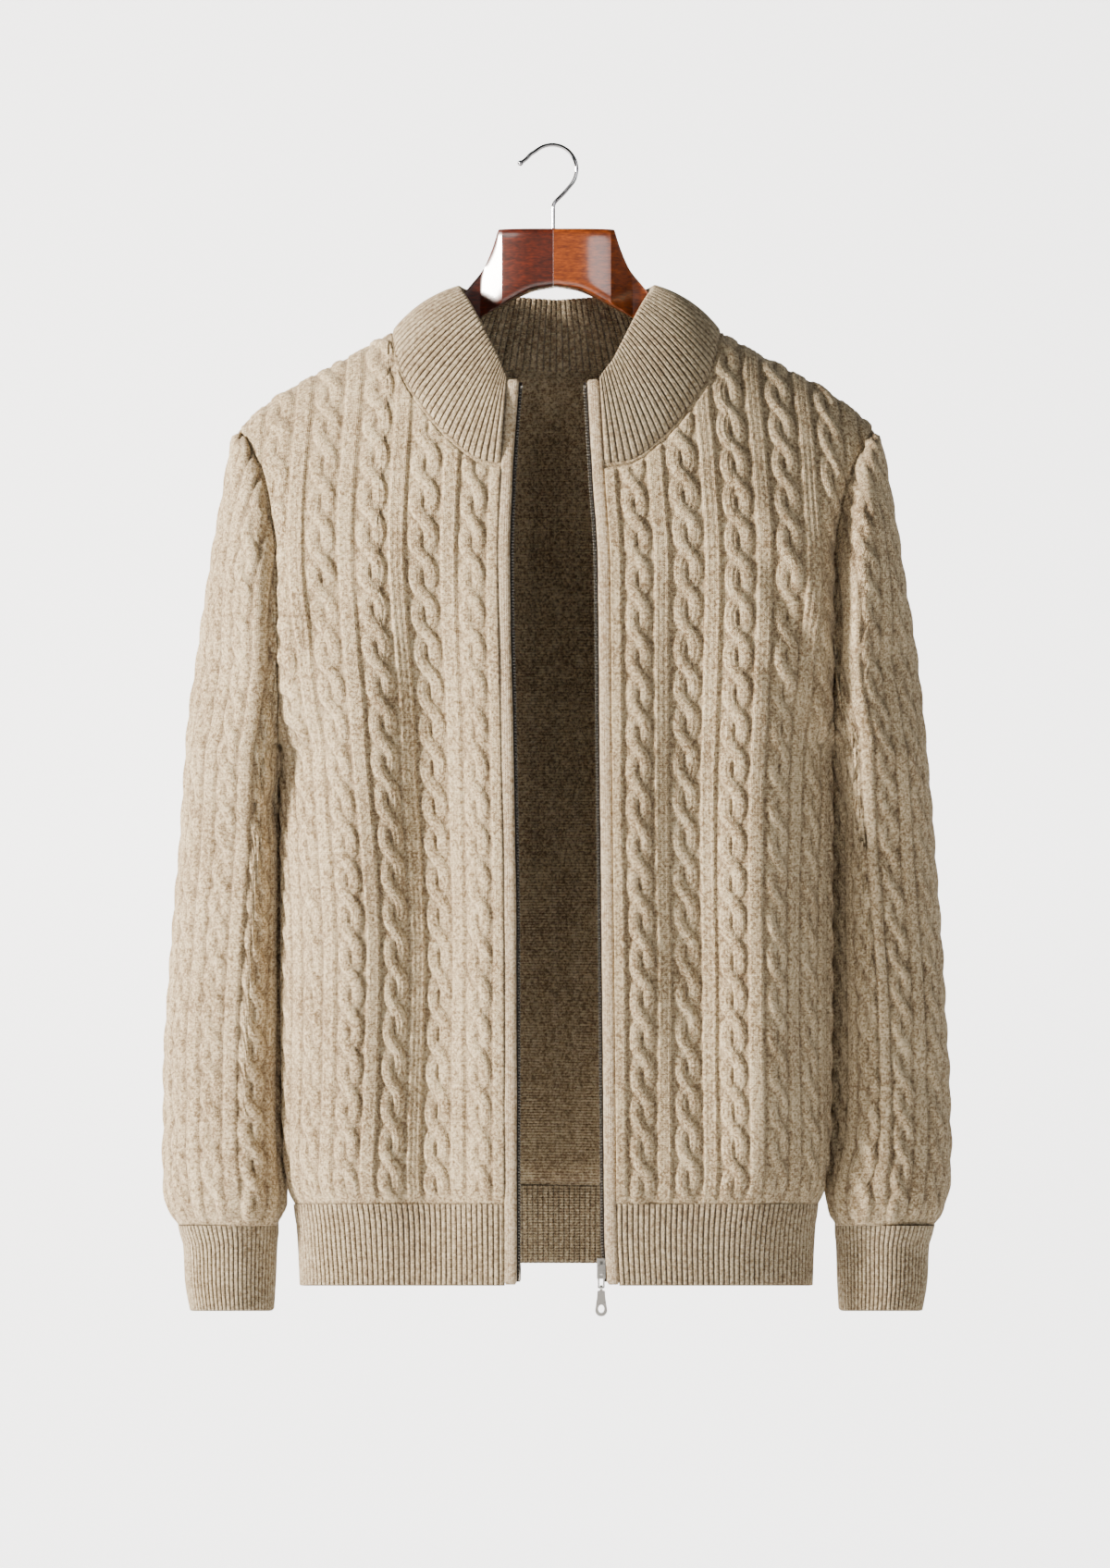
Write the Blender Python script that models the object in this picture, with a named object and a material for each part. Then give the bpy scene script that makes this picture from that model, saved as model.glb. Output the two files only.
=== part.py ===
# Cable knit zip cardigan on a wooden hanger with a wire hook.
# Metres, +Z up. The origin is the inside top of the hook, where a rail would be.
# The front faces -Y. "left" and "right" are as someone facing the front sees them.
# Each knitted panel is laid out flat as s (across) and v (up from the hem), given
# its cables there, and then placed on the hanging garment's surface.

import math
import bpy
import bmesh
import numpy as np
from mathutils import Matrix, Vector
from mathutils.geometry import delaunay_2d_cdt

# Driving sizes
WALL = 0.0028            # knit between its relief and its plain inside
GAP = 0.0004             # between pieces at a seam
CABLE_RISE = 0.0030      # crest of a cable above the purl groove
RIB_RISE = 0.0015        # flat rib between two cables
CABLE_PITCH = 0.0320     # cable to cable on fronts and back
SLEEVE_PITCH = 0.0300    # cable to cable on the sleeves
CROSSING = 0.0270        # cable crossing to crossing
CABLE_HALF = 0.0095      # cable centre to the groove beside it
CREST_HALF = 0.0040      # cable centre to each end of a crossing's crest
CREST_SLANT = 0.0060     # how far a crest's ends lie above and below its middle
GROOVE_SLANT = 0.0100    # the same where the strand meets the groove
RIB_HALF = 0.0045        # half the flat rib
RIB_PITCH = 0.0039       # rib to rib in hem, cuffs and collar
COLLAR_RIB_PITCH = 0.0052
FINE_RIB_RISE = 0.0012
FRONT_CABLES = 6
BACK_CABLES = 15
SLEEVE_CABLES = 7
FIRST_CABLE = 0.0170     # front band to the middle of the first cable
BAND_WIDTH = 0.0085
BAND_THICK = 0.0046
CLEAR = 0.0025           # relief stays this far from a seam

SQUARENESS = 2.5         # exponent of the body's rounded sections
SHOULDER_FALL = 0.190    # height in which the cloth falls to its full depth
HEM_SEAM = -0.7545
HEM_BOTTOM = -0.8120
CUFF_SEAM = -0.7700
CUFF_BOTTOM = -0.8300
UNDERARM = -0.4310
FAN_LEVEL = -0.2920      # above this the columns run straight up
NECK_POINT = 0.1180
LEVEL_STEP = 0.0025      # spacing of the tabulated sections
FRONT_HEM_LENGTH = 0.212
BACK_HEM_LENGTH = 0.478
CUFF_MIDDLE = -0.788
# The tables give heights as they appear in a view from in front; nearer and farther
# points of the cloth are brought towards the height that the view is taken from.
VIEW_HEIGHT = -0.4547
VIEW_DISTANCE = 2.700
SHOULDER_LEVEL = -0.2035  # where the armhole seam starts

# Half width and half depth of the body by height.
BODY_ROWS = [
    {"z": -0.130, "width": 0.2500, "depth": 0.0740},
    {"z": -0.300, "width": 0.2500, "depth": 0.0780},
    {"z": -0.350, "width": 0.2400, "depth": 0.0780},
    {"z": -0.400, "width": 0.2150, "depth": 0.0770},
    {"z": -0.420, "width": 0.2030, "depth": 0.0770},
    {"z": -0.431, "width": 0.1960, "depth": 0.0770},
    {"z": -0.450, "width": 0.1950, "depth": 0.0765},
    {"z": -0.600, "width": 0.1950, "depth": 0.0740},
    {"z": -0.700, "width": 0.1935, "depth": 0.0710},
    {"z": -0.735, "width": 0.1905, "depth": 0.0690},
    {"z": -0.7545, "width": 0.1865, "depth": 0.0665},
    {"z": -0.770, "width": 0.1835, "depth": 0.0655},
    {"z": -0.812, "width": 0.1812, "depth": 0.0650},
]
# Top line of the shoulders, by distance from the middle.
SHOULDER_ROWS = [
    {"x": 0.0000, "z": -0.1000},
    {"x": 0.0600, "z": -0.1090},
    {"x": 0.1180, "z": -0.1345},
    {"x": 0.1520, "z": -0.1531},
    {"x": 0.1900, "z": -0.1735},
    {"x": 0.2180, "z": -0.1940},
    {"x": 0.2255, "z": -0.2035},
    {"x": 0.2500, "z": -0.2500},
]
# Armhole seam as seen from the front.
ARMHOLE_ROWS = [
    {"z": -0.2035, "x": 0.2255},
    {"z": -0.2150, "x": 0.2175},
    {"z": -0.2270, "x": 0.2105},
    {"z": -0.2470, "x": 0.2040},
    {"z": -0.2700, "x": 0.1998},
    {"z": -0.2920, "x": 0.1975},
    {"z": -0.3500, "x": 0.1970},
    {"z": -0.4310, "x": 0.1970},
]
ARMHOLE_LEVELS = (SHOULDER_LEVEL, -0.2050, -0.2085, -0.2140, -0.2220, -0.2330, -0.2470, -0.2650, -0.2860,
                  -0.3100, -0.3350, -0.3600, -0.3820, -0.4000, -0.4130, -0.4220, -0.4280, -0.4310)
# Neckline of the fronts, from the band to the neck point.
FRONT_NECK_ROWS = [
    {"x": 0.0300, "z": -0.2280},
    {"x": 0.0500, "z": -0.2255},
    {"x": 0.0740, "z": -0.2086},
    {"x": 0.0960, "z": -0.1830},
    {"x": 0.1105, "z": -0.1590},
    {"x": 0.1180, "z": -0.1345},
]
BACK_NECK_ROWS = [
    {"x": 0.0000, "z": -0.1500},
    {"x": 0.0600, "z": -0.1475},
    {"x": 0.0950, "z": -0.1420},
    {"x": 0.1180, "z": -0.1345},
]
# Top edge of the collar by share of the way from the band to the middle of the back.
COLLAR_TOP_ROWS = [
    {"share": 0.00, "x": 0.0330, "y": -0.0640, "z": -0.1665},
    {"share": 0.20, "x": 0.0470, "y": -0.0500, "z": -0.1400},
    {"share": 0.38, "x": 0.0620, "y": -0.0270, "z": -0.1120},
    {"share": 0.53, "x": 0.0700, "y": -0.0030, "z": -0.1005},
    {"share": 0.75, "x": 0.0500, "y": 0.0300, "z": -0.0990},
    {"share": 1.00, "x": 0.0000, "y": 0.0420, "z": -0.1003},
]
COLLAR_BULGE = 0.0050
# Inner edges of the two front bands by height.
BAND_ROWS = [
    {"z": -0.166, "left": 0.0262, "right": 0.0215},
    {"z": -0.239, "left": 0.0307, "right": 0.0254},
    {"z": -0.292, "left": 0.0323, "right": 0.0287},
    {"z": -0.424, "left": 0.0300, "right": 0.0300},
    {"z": -0.556, "left": 0.0280, "right": 0.0314},
    {"z": -0.688, "left": 0.0277, "right": 0.0327},
    {"z": -0.775, "left": 0.0277, "right": 0.0335},
    {"z": -0.812, "left": 0.0277, "right": 0.0354},
]
BAND_TOP = -0.1660
NECK_START = -0.2280
# Sleeve seen from the front: outer edge, inner edge, half depth and how far back it hangs.
SLEEVE_ROWS = [
    {"z": -0.2035, "outer": 0.2262, "inner": 0.1970, "depth": 0.0100, "back": 0.000},
    {"z": -0.2100, "outer": 0.2295, "inner": 0.1970, "depth": 0.0230, "back": 0.000},
    {"z": -0.2220, "outer": 0.2320, "inner": 0.1970, "depth": 0.0320, "back": 0.000},
    {"z": -0.2350, "outer": 0.2343, "inner": 0.1970, "depth": 0.0380, "back": 0.000},
    {"z": -0.2785, "outer": 0.2420, "inner": 0.1970, "depth": 0.0530, "back": 0.000},
    {"z": -0.3180, "outer": 0.2480, "inner": 0.1970, "depth": 0.0610, "back": 0.000},
    {"z": -0.3577, "outer": 0.2535, "inner": 0.1970, "depth": 0.0660, "back": 0.000},
    {"z": -0.3970, "outer": 0.2585, "inner": 0.1970, "depth": 0.0690, "back": 0.000},
    {"z": -0.4310, "outer": 0.2620, "inner": 0.1970, "depth": 0.0700, "back": 0.000},
    {"z": -0.4500, "outer": 0.2638, "inner": 0.2003, "depth": 0.0695, "back": 0.000},
    {"z": -0.4765, "outer": 0.2665, "inner": 0.2022, "depth": 0.0685, "back": 0.002},
    {"z": -0.5160, "outer": 0.2700, "inner": 0.2040, "depth": 0.0670, "back": 0.004},
    {"z": -0.5950, "outer": 0.2760, "inner": 0.2055, "depth": 0.0620, "back": 0.006},
    {"z": -0.6745, "outer": 0.2803, "inner": 0.2055, "depth": 0.0570, "back": 0.006},
    {"z": -0.7140, "outer": 0.2805, "inner": 0.2010, "depth": 0.0540, "back": 0.006},
    {"z": -0.7405, "outer": 0.2795, "inner": 0.1965, "depth": 0.0500, "back": 0.006},
    {"z": -0.7560, "outer": 0.2760, "inner": 0.1960, "depth": 0.0430, "back": 0.006},
    {"z": -0.7700, "outer": 0.2700, "inner": 0.1990, "depth": 0.0360, "back": 0.006},
]
CUFF_ROWS = [
    {"z": -0.7704, "outer": 0.2690, "inner": 0.2000, "depth": 0.0345, "back": 0.006},
    {"z": -0.7850, "outer": 0.2652, "inner": 0.2008, "depth": 0.0300, "back": 0.006},
    {"z": -0.8100, "outer": 0.2640, "inner": 0.2018, "depth": 0.0285, "back": 0.006},
    {"z": -0.8300, "outer": 0.2605, "inner": 0.2030, "depth": 0.0280, "back": 0.006},
]
# Largest soft folds of the hanging body: place, half width, rise (troughs below 0), span.
FRONT_FOLDS = [
    {"x": -0.108, "width": 0.030, "rise": -0.0070, "top": -0.300, "bottom": -0.760},
    {"x": -0.062, "width": 0.024, "rise": 0.0030, "top": -0.340, "bottom": -0.780},
    {"x": -0.152, "width": 0.022, "rise": 0.0030, "top": -0.420, "bottom": -0.700},
    {"x": 0.078, "width": 0.022, "rise": -0.0055, "top": -0.280, "bottom": -0.720},
    {"x": 0.122, "width": 0.026, "rise": 0.0045, "top": -0.330, "bottom": -0.780},
    {"x": 0.160, "width": 0.018, "rise": -0.0030, "top": -0.450, "bottom": -0.740},
]
BACK_FOLDS = [
    {"x": -0.120, "width": 0.030, "rise": -0.0060, "top": -0.320, "bottom": -0.760},
    {"x": -0.050, "width": 0.026, "rise": 0.0035, "top": -0.260, "bottom": -0.700},
    {"x": 0.030, "width": 0.028, "rise": -0.0060, "top": -0.380, "bottom": -0.780},
    {"x": 0.105, "width": 0.026, "rise": 0.0040, "top": -0.300, "bottom": -0.740},
    {"x": 0.150, "width": 0.020, "rise": -0.0040, "top": -0.430, "bottom": -0.760},
]

# Hanger
WOOD_JOIN = -0.0023      # the two arms meet here, a little left of the middle
ARM_ROWS = [
    {"x": 0.0000, "top": -0.0594, "bottom": -0.1000, "half": 0.0120, "square": 8.0},
    {"x": 0.0270, "top": -0.0594, "bottom": -0.1070, "half": 0.0120, "square": 8.0},
    {"x": 0.0410, "top": -0.0596, "bottom": -0.1122, "half": 0.0120, "square": 8.0},
    {"x": 0.0460, "top": -0.0740, "bottom": -0.1143, "half": 0.0118, "square": 6.0},
    {"x": 0.0520, "top": -0.0871, "bottom": -0.1175, "half": 0.0116, "square": 4.0},
    {"x": 0.0610, "top": -0.0990, "bottom": -0.1230, "half": 0.0114, "square": 3.0},
    {"x": 0.0760, "top": -0.1160, "bottom": -0.1345, "half": 0.0110, "square": 2.5},
    {"x": 0.1000, "top": -0.1340, "bottom": -0.1530, "half": 0.0105, "square": 2.2},
    {"x": 0.1180, "top": -0.1412, "bottom": -0.1680, "half": 0.0110, "square": 2.0},
    {"x": 0.1500, "top": -0.1567, "bottom": -0.1890, "half": 0.0140, "square": 2.0},
    {"x": 0.1800, "top": -0.1750, "bottom": -0.2060, "half": 0.0130, "square": 2.0},
    {"x": 0.2000, "top": -0.1885, "bottom": -0.2130, "half": 0.0105, "square": 2.0},
    {"x": 0.2120, "top": -0.1995, "bottom": -0.2130, "half": 0.0070, "square": 2.0},
]
ARM_SIDES = 12
WOOD_TOP = -0.0594
WIRE = 0.0028
HOOK_RADIUS = 0.0175     # to the middle of the wire
HOOK_CENTRE = -0.0030    # the arc's centre lies a little left of the stem

# Zip
TAPE_THICK = 0.0011
TAPE_REACH = 0.0024      # tape past the band's edge
TAPE_HIDDEN = 0.0100     # tape behind the band
TAPE_BEHIND = 0.0040     # tape's front face behind the cloth's base surface
ZIP_X = 0.0312           # middle of the slider
SLIDER_TOP = -0.7854
SLIDER_BOTTOM = -0.7996
SLIDER_HALF = 0.0030
PLATE = 0.0012
CHANNEL = 0.0012         # tape's mid-plane to the inside of each plate
WEB = 0.0014
BAIL_TOP = -0.7874
BAIL_BOTTOM = -0.7967
BAIL_HALF = 0.0010
BAIL_WINDOW = 0.0020     # depth of the space under the bail
BAIL_BAR = 0.0011
LINK_PIVOT = -0.7944
TAB_PIVOT = -0.8055
LINK_HALF = 0.0024
LINK_BAR = 0.0011
BARREL = 0.0016
BORE = 0.00095
TAB_TOP = -0.0022        # the tab's outline, from its pivot down
TAB_LENGTH = 0.0200
TAB_THICK = 0.0015

# name: colour, roughness, metallic
FINISHES = {
    "knit": ((0.48, 0.38, 0.26, 1.0), 0.95, 0.0),
    "rib": ((0.46, 0.36, 0.25, 1.0), 0.95, 0.0),
    "tape": ((0.05, 0.045, 0.04, 1.0), 0.9, 0.0),
    "zip_metal": ((0.55, 0.53, 0.50, 1.0), 0.3, 1.0),
    "wood": ((0.22, 0.06, 0.02, 1.0), 0.18, 0.0),
    "chrome": ((0.75, 0.75, 0.76, 1.0), 0.12, 1.0),
}


# ---- reading the tables ----

def along(rows, key, column, at):
    """Reads a column of a table between its rows, on a smooth curve with no overshoot."""
    pairs = sorted((row[key], row[column]) for row in rows)
    keys = np.array([pair[0] for pair in pairs])
    values = np.array([pair[1] for pair in pairs])
    step = np.diff(keys)
    slope = np.diff(values) / step
    tangent = np.zeros(len(keys))
    tangent[0] = slope[0]
    tangent[-1] = slope[-1]
    product = slope[:-1] * slope[1:]
    total = np.where(product > 0, slope[:-1] + slope[1:], 1.0)
    tangent[1:-1] = np.where(product > 0, 2.0 * product / total, 0.0)
    at = np.clip(np.asarray(at, dtype=float), keys[0], keys[-1])
    i = np.clip(np.searchsorted(keys, at) - 1, 0, len(keys) - 2)
    t = (at - keys[i]) / step[i]
    rise = values[i + 1] - values[i]
    bend = t * (1 - t) * ((1 - t) * (tangent[i] * step[i] - rise) - t * (tangent[i + 1] * step[i] - rise))
    return values[i] + rise * t + bend


def running_length(points):
    """Length along a polyline at each of its points."""
    steps = np.linalg.norm(np.diff(points, axis=0), axis=1)
    return np.concatenate([[0.0], np.cumsum(steps)])


def unit(vector):
    return vector / max(np.linalg.norm(vector), 1e-12)


# ---- the body's surface ----

def body_depth(x, z, facing):
    """Distance of the body's surface from the plane of the seams; facing is -1 front, 1 back."""
    x = np.asarray(x, dtype=float)
    z = np.asarray(z, dtype=float)
    width = along(BODY_ROWS, "z", "width", z)
    full = along(BODY_ROWS, "z", "depth", z)
    across = np.clip(1 - (np.abs(x) / width) ** SQUARENESS, 0, 1) ** (1 / SQUARENESS)
    fall = np.clip((along(SHOULDER_ROWS, "x", "z", np.abs(x)) - z) / SHOULDER_FALL, 0, 1)
    down = np.sqrt(1 - (1 - fall) ** 2)
    folds = np.zeros(np.broadcast(x, z).shape)
    for fold in FRONT_FOLDS if facing < 0 else BACK_FOLDS:
        share = np.clip((fold["top"] - z) / (fold["top"] - fold["bottom"]), 0, 1)
        folds = folds + (fold["rise"] * np.exp(-((x - fold["x"]) / fold["width"]) ** 2)
                         * np.sin(math.pi * share) ** 0.7)
    return (full + folds) * across * down


def body_point(x, z, facing):
    return np.array([x, facing * float(body_depth(x, z, facing)), z])


def section_level(number, facing, side):
    """One tabulated section of the body: x from the middle to the side, and length run."""
    key = (number, facing, side)
    if key not in section_levels:
        z = -number * LEVEL_STEP
        width = float(along(BODY_ROWS, "z", "width", z))
        x = width * np.sin(np.linspace(0, math.pi / 2, 260)) ** (2 / SQUARENESS)
        depth = body_depth(side * x, z, facing)
        section_levels[key] = (x, running_length(np.column_stack([x, depth])))
    return section_levels[key]


def section_run(z, facing, side):
    """Samples of x from the middle to the side seam at a height, with the length run so far."""
    place = -z / LEVEL_STEP
    number = int(place)
    share = place - number
    above = section_level(number, facing, side)
    below = section_level(number + 1, facing, side)
    return [a * (1 - share) + b * share for a, b in zip(above, below)]


def panel_start(panel, z):
    """Where a panel begins, as a distance from the middle."""
    if panel["band"] is None:
        return 0.0
    return float(along(BAND_ROWS, "z", panel["band"], z)) + BAND_WIDTH + GAP


def body_x(panel, s, z):
    """Distance from the middle after a length s across the panel at a height."""
    x, run = section_run(min(z, FAN_LEVEL), panel["facing"], panel["side"])
    start = np.interp(panel_start(panel, z), x, run)
    return float(np.interp(start + s, run, x))


def body_s(panel, x, z):
    xs, run = section_run(min(z, FAN_LEVEL), panel["facing"], panel["side"])
    start = np.interp(panel_start(panel, z), xs, run)
    return float(np.interp(x, xs, run) - start)


def body_line(panel, s):
    """The panel's knit column at s: its heights, and lengths from the hem up to the shoulder."""
    key = round(s, 5)
    if key not in panel["lines"]:
        top = -0.15
        for _ in range(4):
            top = float(along(SHOULDER_ROWS, "x", "z", body_x(panel, key, top)))
        near_top = top - SHOULDER_FALL * (1 - np.cos(np.linspace(math.pi / 2, 0, 40)))
        below = np.linspace(HEM_SEAM, near_top[0], 40)[:-1]
        z = np.concatenate([below, near_top])
        x = np.array([body_x(panel, key, level) for level in z])
        y = body_depth(panel["side"] * x, z, panel["facing"])
        panel["lines"][key] = (z, running_length(np.column_stack([x, y, z])))
    return panel["lines"][key]


def body_place(panel, s, v):
    """Point of the panel's base surface."""
    z_line, v_line = body_line(panel, abs(s))
    z = float(np.interp(v, v_line, z_line))
    side = panel["side"] if panel["band"] else math.copysign(1, s)
    x = side * body_x(panel, abs(s), z)
    return body_point(x, z, panel["facing"])


def body_normal(x, z, facing):
    """Outward normal of the body, from its depth a little to each side."""
    reach = 0.0004
    width = float(along(BODY_ROWS, "z", "width", z))
    top = float(along(SHOULDER_ROWS, "x", "z", abs(x)))
    high = min(z + reach, top)
    low = z - reach
    left = max(x - reach, -width)
    right = min(x + reach, width)
    up = body_point(x, high, facing) - body_point(x, low, facing)
    across = body_point(right, z, facing) - body_point(left, z, facing)
    normal = unit(np.cross(across, up))
    if normal[1] * facing < 0:
        normal = -normal
    return normal


# ---- the sleeve's surface ----

def armhole_point(z, facing):
    """Point of the right armhole seam at a height."""
    x = float(along(ARMHOLE_ROWS, "z", "x", z))
    if z <= UNDERARM:
        return np.array([x, 0.0, z])
    return body_point(x, z, facing)


def sleeve_section(rows, z, cap=True):
    """Half of the sleeve's section from its outer line to its seam, as (x, y) offsets."""
    outer = float(along(rows, "z", "outer", z))
    inner = float(along(rows, "z", "inner", z))
    depth = float(along(rows, "z", "depth", z))
    if cap and z > UNDERARM:
        seam = armhole_point(z, -1)
        depth = max(depth, 1.03 * abs(seam[1]))
        sine = abs(seam[1]) / depth
        half = max(outer - seam[0], 0.0002) / (1 + math.sqrt(1 - sine * sine))
        turn = math.pi - math.asin(sine)
    else:
        half = (outer - inner) / 2
        turn = math.pi
    angle = np.linspace(0, turn, 160)
    return outer - half + half * np.cos(angle), depth * np.sin(angle)


def sleeve_level(number):
    """One tabulated half section of the sleeve: x, y and the length run."""
    if number not in sleeve_levels:
        x, y = sleeve_section(SLEEVE_ROWS, -number * LEVEL_STEP)
        sleeve_levels[number] = (x, y, running_length(np.column_stack([x, y])))
    return sleeve_levels[number]


def sleeve_run(z):
    """The sleeve's half section at any height, between its tabulated ones."""
    place = -z / LEVEL_STEP
    number = int(place)
    share = place - number
    above = sleeve_level(number)
    below = sleeve_level(number + 1)
    return [a * (1 - share) + b * share for a, b in zip(above, below)]


def sleeve_half(z):
    """Length of half the sleeve's section."""
    return float(sleeve_run(z)[2][-1])


def sleeve_at(s, z):
    """Point of the right sleeve at a length s from its outer line, positive towards the back."""
    x, y, run = sleeve_run(z)
    back = float(along(SLEEVE_ROWS, "z", "back", z))
    way = math.copysign(1, s)
    return np.array([np.interp(abs(s), run, x), way * np.interp(abs(s), run, y) + back, z])


def sleeve_line(panel, s):
    key = round(abs(s), 5)
    if key not in panel["lines"]:
        caps = panel["caps"]
        top = float(np.interp(key, caps[1], caps[0]))
        share = np.sin(np.linspace(0, math.pi / 2, 70))
        z = CUFF_SEAM + (top - CUFF_SEAM) * share
        points = np.array([sleeve_at(key, level) for level in z])
        panel["lines"][key] = (z, running_length(points))
    return panel["lines"][key]


def sleeve_place(panel, s, v):
    z_line, v_line = sleeve_line(panel, s)
    point = sleeve_at(panel["side"] * s, float(np.interp(v, v_line, z_line)))
    return point * np.array([panel["side"], 1, 1])


def sleeve_normal(s, z):
    """Outward normal of the right sleeve."""
    reach = 0.0006
    limit = sleeve_half(z)
    way = math.copysign(1, s)
    s_low = way * max(min(abs(s), limit) - reach, 0)
    s_high = way * min(abs(s) + reach, limit)
    across = sleeve_at(s_high, z) - sleeve_at(s_low, z)
    up = sleeve_at(s, min(z + reach, SHOULDER_LEVEL - 0.0001)) - sleeve_at(s, z - reach)
    normal = unit(np.cross(across, up))
    return normal * way


# ---- seams: shared points that two pieces meet at ----

def armhole_seam():
    """Right armhole: for front and back, the seam's points, outward directions and way across."""
    seam = {}
    for facing in (-1, 1):
        rows = []
        points = [armhole_point(z, facing) for z in ARMHOLE_LEVELS]
        for i, z in enumerate(ARMHOLE_LEVELS):
            low = points[min(i + 1, len(points) - 1)]
            high = points[max(i - 1, 0)]
            body = body_normal(points[i][0], z, facing) if z > UNDERARM else np.array([1.0, 0, 0])
            sleeve = sleeve_normal(facing * sleeve_half(z), z)
            down = np.clip((-0.380 - z) / 0.045, 0, 1) * 1.6
            outward = unit(body + sleeve + np.array([0, 0, -down]))
            if i == 0:
                outward = unit(np.array([0.45, 0, 1.0]))
            across = unit(np.cross(unit(high - low), outward))
            if across[0] < 0:
                across = -across
            if i in (0, len(points) - 1):
                across = unit(np.array([1.0, 0, -0.6]) if i == 0 else np.array([1.0, 0, 0]))
            rows.append((points[i], outward, across))
        seam[facing] = rows
    return seam


def collar_top(share):
    return np.array([float(along(COLLAR_TOP_ROWS, "share", axis, share)) for axis in "xyz"])


def neck_seam(band):
    """One half of the neckline as if on the right, from its band to the middle of the back."""
    start = float(along(BAND_ROWS, "z", band, NECK_START)) + BAND_WIDTH + GAP
    front_x = [start, 0.050, 0.062, 0.074, 0.085, 0.096, 0.104, 0.1105, 0.1150, NECK_POINT]
    back_x = [0.1130, 0.1060, 0.095, 0.080, 0.060, 0.040, 0.020, 0.0]
    points = [body_point(x, float(along(FRONT_NECK_ROWS, "x", "z", x)), -1) for x in front_x]
    points[-1] = np.array([NECK_POINT, 0.0, -0.1345])
    points += [body_point(x, float(along(BACK_NECK_ROWS, "x", "z", x)), 1) for x in back_x]
    facings = [-1] * len(front_x) + [1] * len(back_x)
    run = running_length(np.array(points))
    shares = run / run[-1]
    rows = []
    for i, point in enumerate(points):
        ahead = points[min(i + 1, len(points) - 1)]
        behind = points[max(i - 1, 0)]
        way = unit(ahead - behind)
        if i == len(points) - 1:
            way = np.array([-1.0, 0, 0])
        rise = unit(collar_top(shares[i]) - point)
        body = body_normal(point[0], point[2], facings[i])
        if i == len(front_x) - 1:
            body = np.array([0.0, 0, 1.0])
        collar = unit(np.cross(way, rise))
        outward = unit(body + collar)
        outward = unit(outward - way * np.dot(outward, way))
        across = unit(np.cross(outward, way))
        if np.dot(across, rise) < 0:
            across = -across
        rows.append((point, outward, across))
    return rows, shares, len(front_x)


# ---- building meshes ----

def make_material(name):
    material = bpy.data.materials.new(name)
    material.use_nodes = True
    shader = material.node_tree.nodes["Principled BSDF"]
    colour, roughness, metallic = FINISHES[name.split(".")[0]]
    shader.inputs["Base Color"].default_value = colour
    shader.inputs["Roughness"].default_value = roughness
    shader.inputs["Metallic"].default_value = metallic
    material.diffuse_color = colour
    return material


def add_object(name, mesh, finish, smooth=False):
    piece = bpy.data.objects.new(name, mesh)
    parts.objects.link(piece)
    mesh.materials.append(make_material(f"{finish}.{name}"))
    if smooth:
        mesh.shade_smooth()
        mesh.set_sharp_from_angle(angle=math.radians(40))
    return piece


def real_height(point):
    """A cloth point with its height as seen changed to its real height."""
    x, y, z = (float(c) for c in point)
    return x, y, VIEW_HEIGHT + (z - VIEW_HEIGHT) * (1 - abs(y) / VIEW_DISTANCE)


def close_mesh(name, points, faces, finish, smooth=False):
    """Makes a closed mesh of points and faces, with its faces turned outward."""
    mesh = bpy.data.meshes.new(name)
    if finish != "wood":
        points = [real_height(point) for point in points]
    mesh.from_pydata([tuple(float(c) for c in point) for point in points], [], faces)
    form = bmesh.new()
    form.from_mesh(mesh)
    bmesh.ops.recalc_face_normals(form, faces=form.faces)
    bmesh.ops.triangulate(form, faces=form.faces)
    if form.calc_volume(signed=True) < 0:
        bmesh.ops.reverse_faces(form, faces=form.faces)
    form.to_mesh(mesh)
    form.free()
    return add_object(name, mesh, finish, smooth)


def strip(first, second):
    """Triangles between two rows of numbered points with different spacing."""
    faces = []
    i = 0
    j = 0
    while i < len(first) - 1 or j < len(second) - 1:
        next_i = (i + 1) / (len(first) - 1) if i < len(first) - 1 else 9
        next_j = (j + 1) / (len(second) - 1) if j < len(second) - 1 else 9
        if next_i <= next_j:
            faces.append((first[i], first[i + 1], second[j]))
            i += 1
        else:
            faces.append((first[i], second[j + 1], second[j]))
            j += 1
    return faces


def loft(rings, closed_ends=True):
    """Faces through rings of equal count."""
    count = len(rings[0])
    points = [point for ring in rings for point in ring]
    faces = []
    for r in range(len(rings) - 1):
        for i in range(count):
            a = r * count + i
            b = r * count + (i + 1) % count
            faces.append((a, b, b + count, a + count))
    if closed_ends:
        faces.append(tuple(range(count)))
        faces.append(tuple(range(len(points) - count, len(points))))
    return points, faces


# ---- a knitted panel: cables drawn flat, then placed ----

def inside(outline, s, v, clear):
    """Whether a flat point lies in an outline and at least a distance from it."""
    a = outline
    b = np.roll(outline, -1, axis=0)
    crosses = (a[:, 1] > v) != (b[:, 1] > v)
    height = np.where(b[:, 1] == a[:, 1], 1.0, b[:, 1] - a[:, 1])
    reach = (b[:, 0] - a[:, 0]) * (v - a[:, 1]) / height + a[:, 0]
    if np.count_nonzero(crosses & (s < reach)) % 2 == 0:
        return False
    edge = b - a
    length = np.maximum((edge ** 2).sum(axis=1), 1e-12)
    t = np.clip(((s - a[:, 0]) * edge[:, 0] + (v - a[:, 1]) * edge[:, 1]) / length, 0, 1)
    away = np.hypot(s - (a[:, 0] + t * edge[:, 0]), v - (a[:, 1] + t * edge[:, 1]))
    return bool(away.min() > clear)


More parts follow.
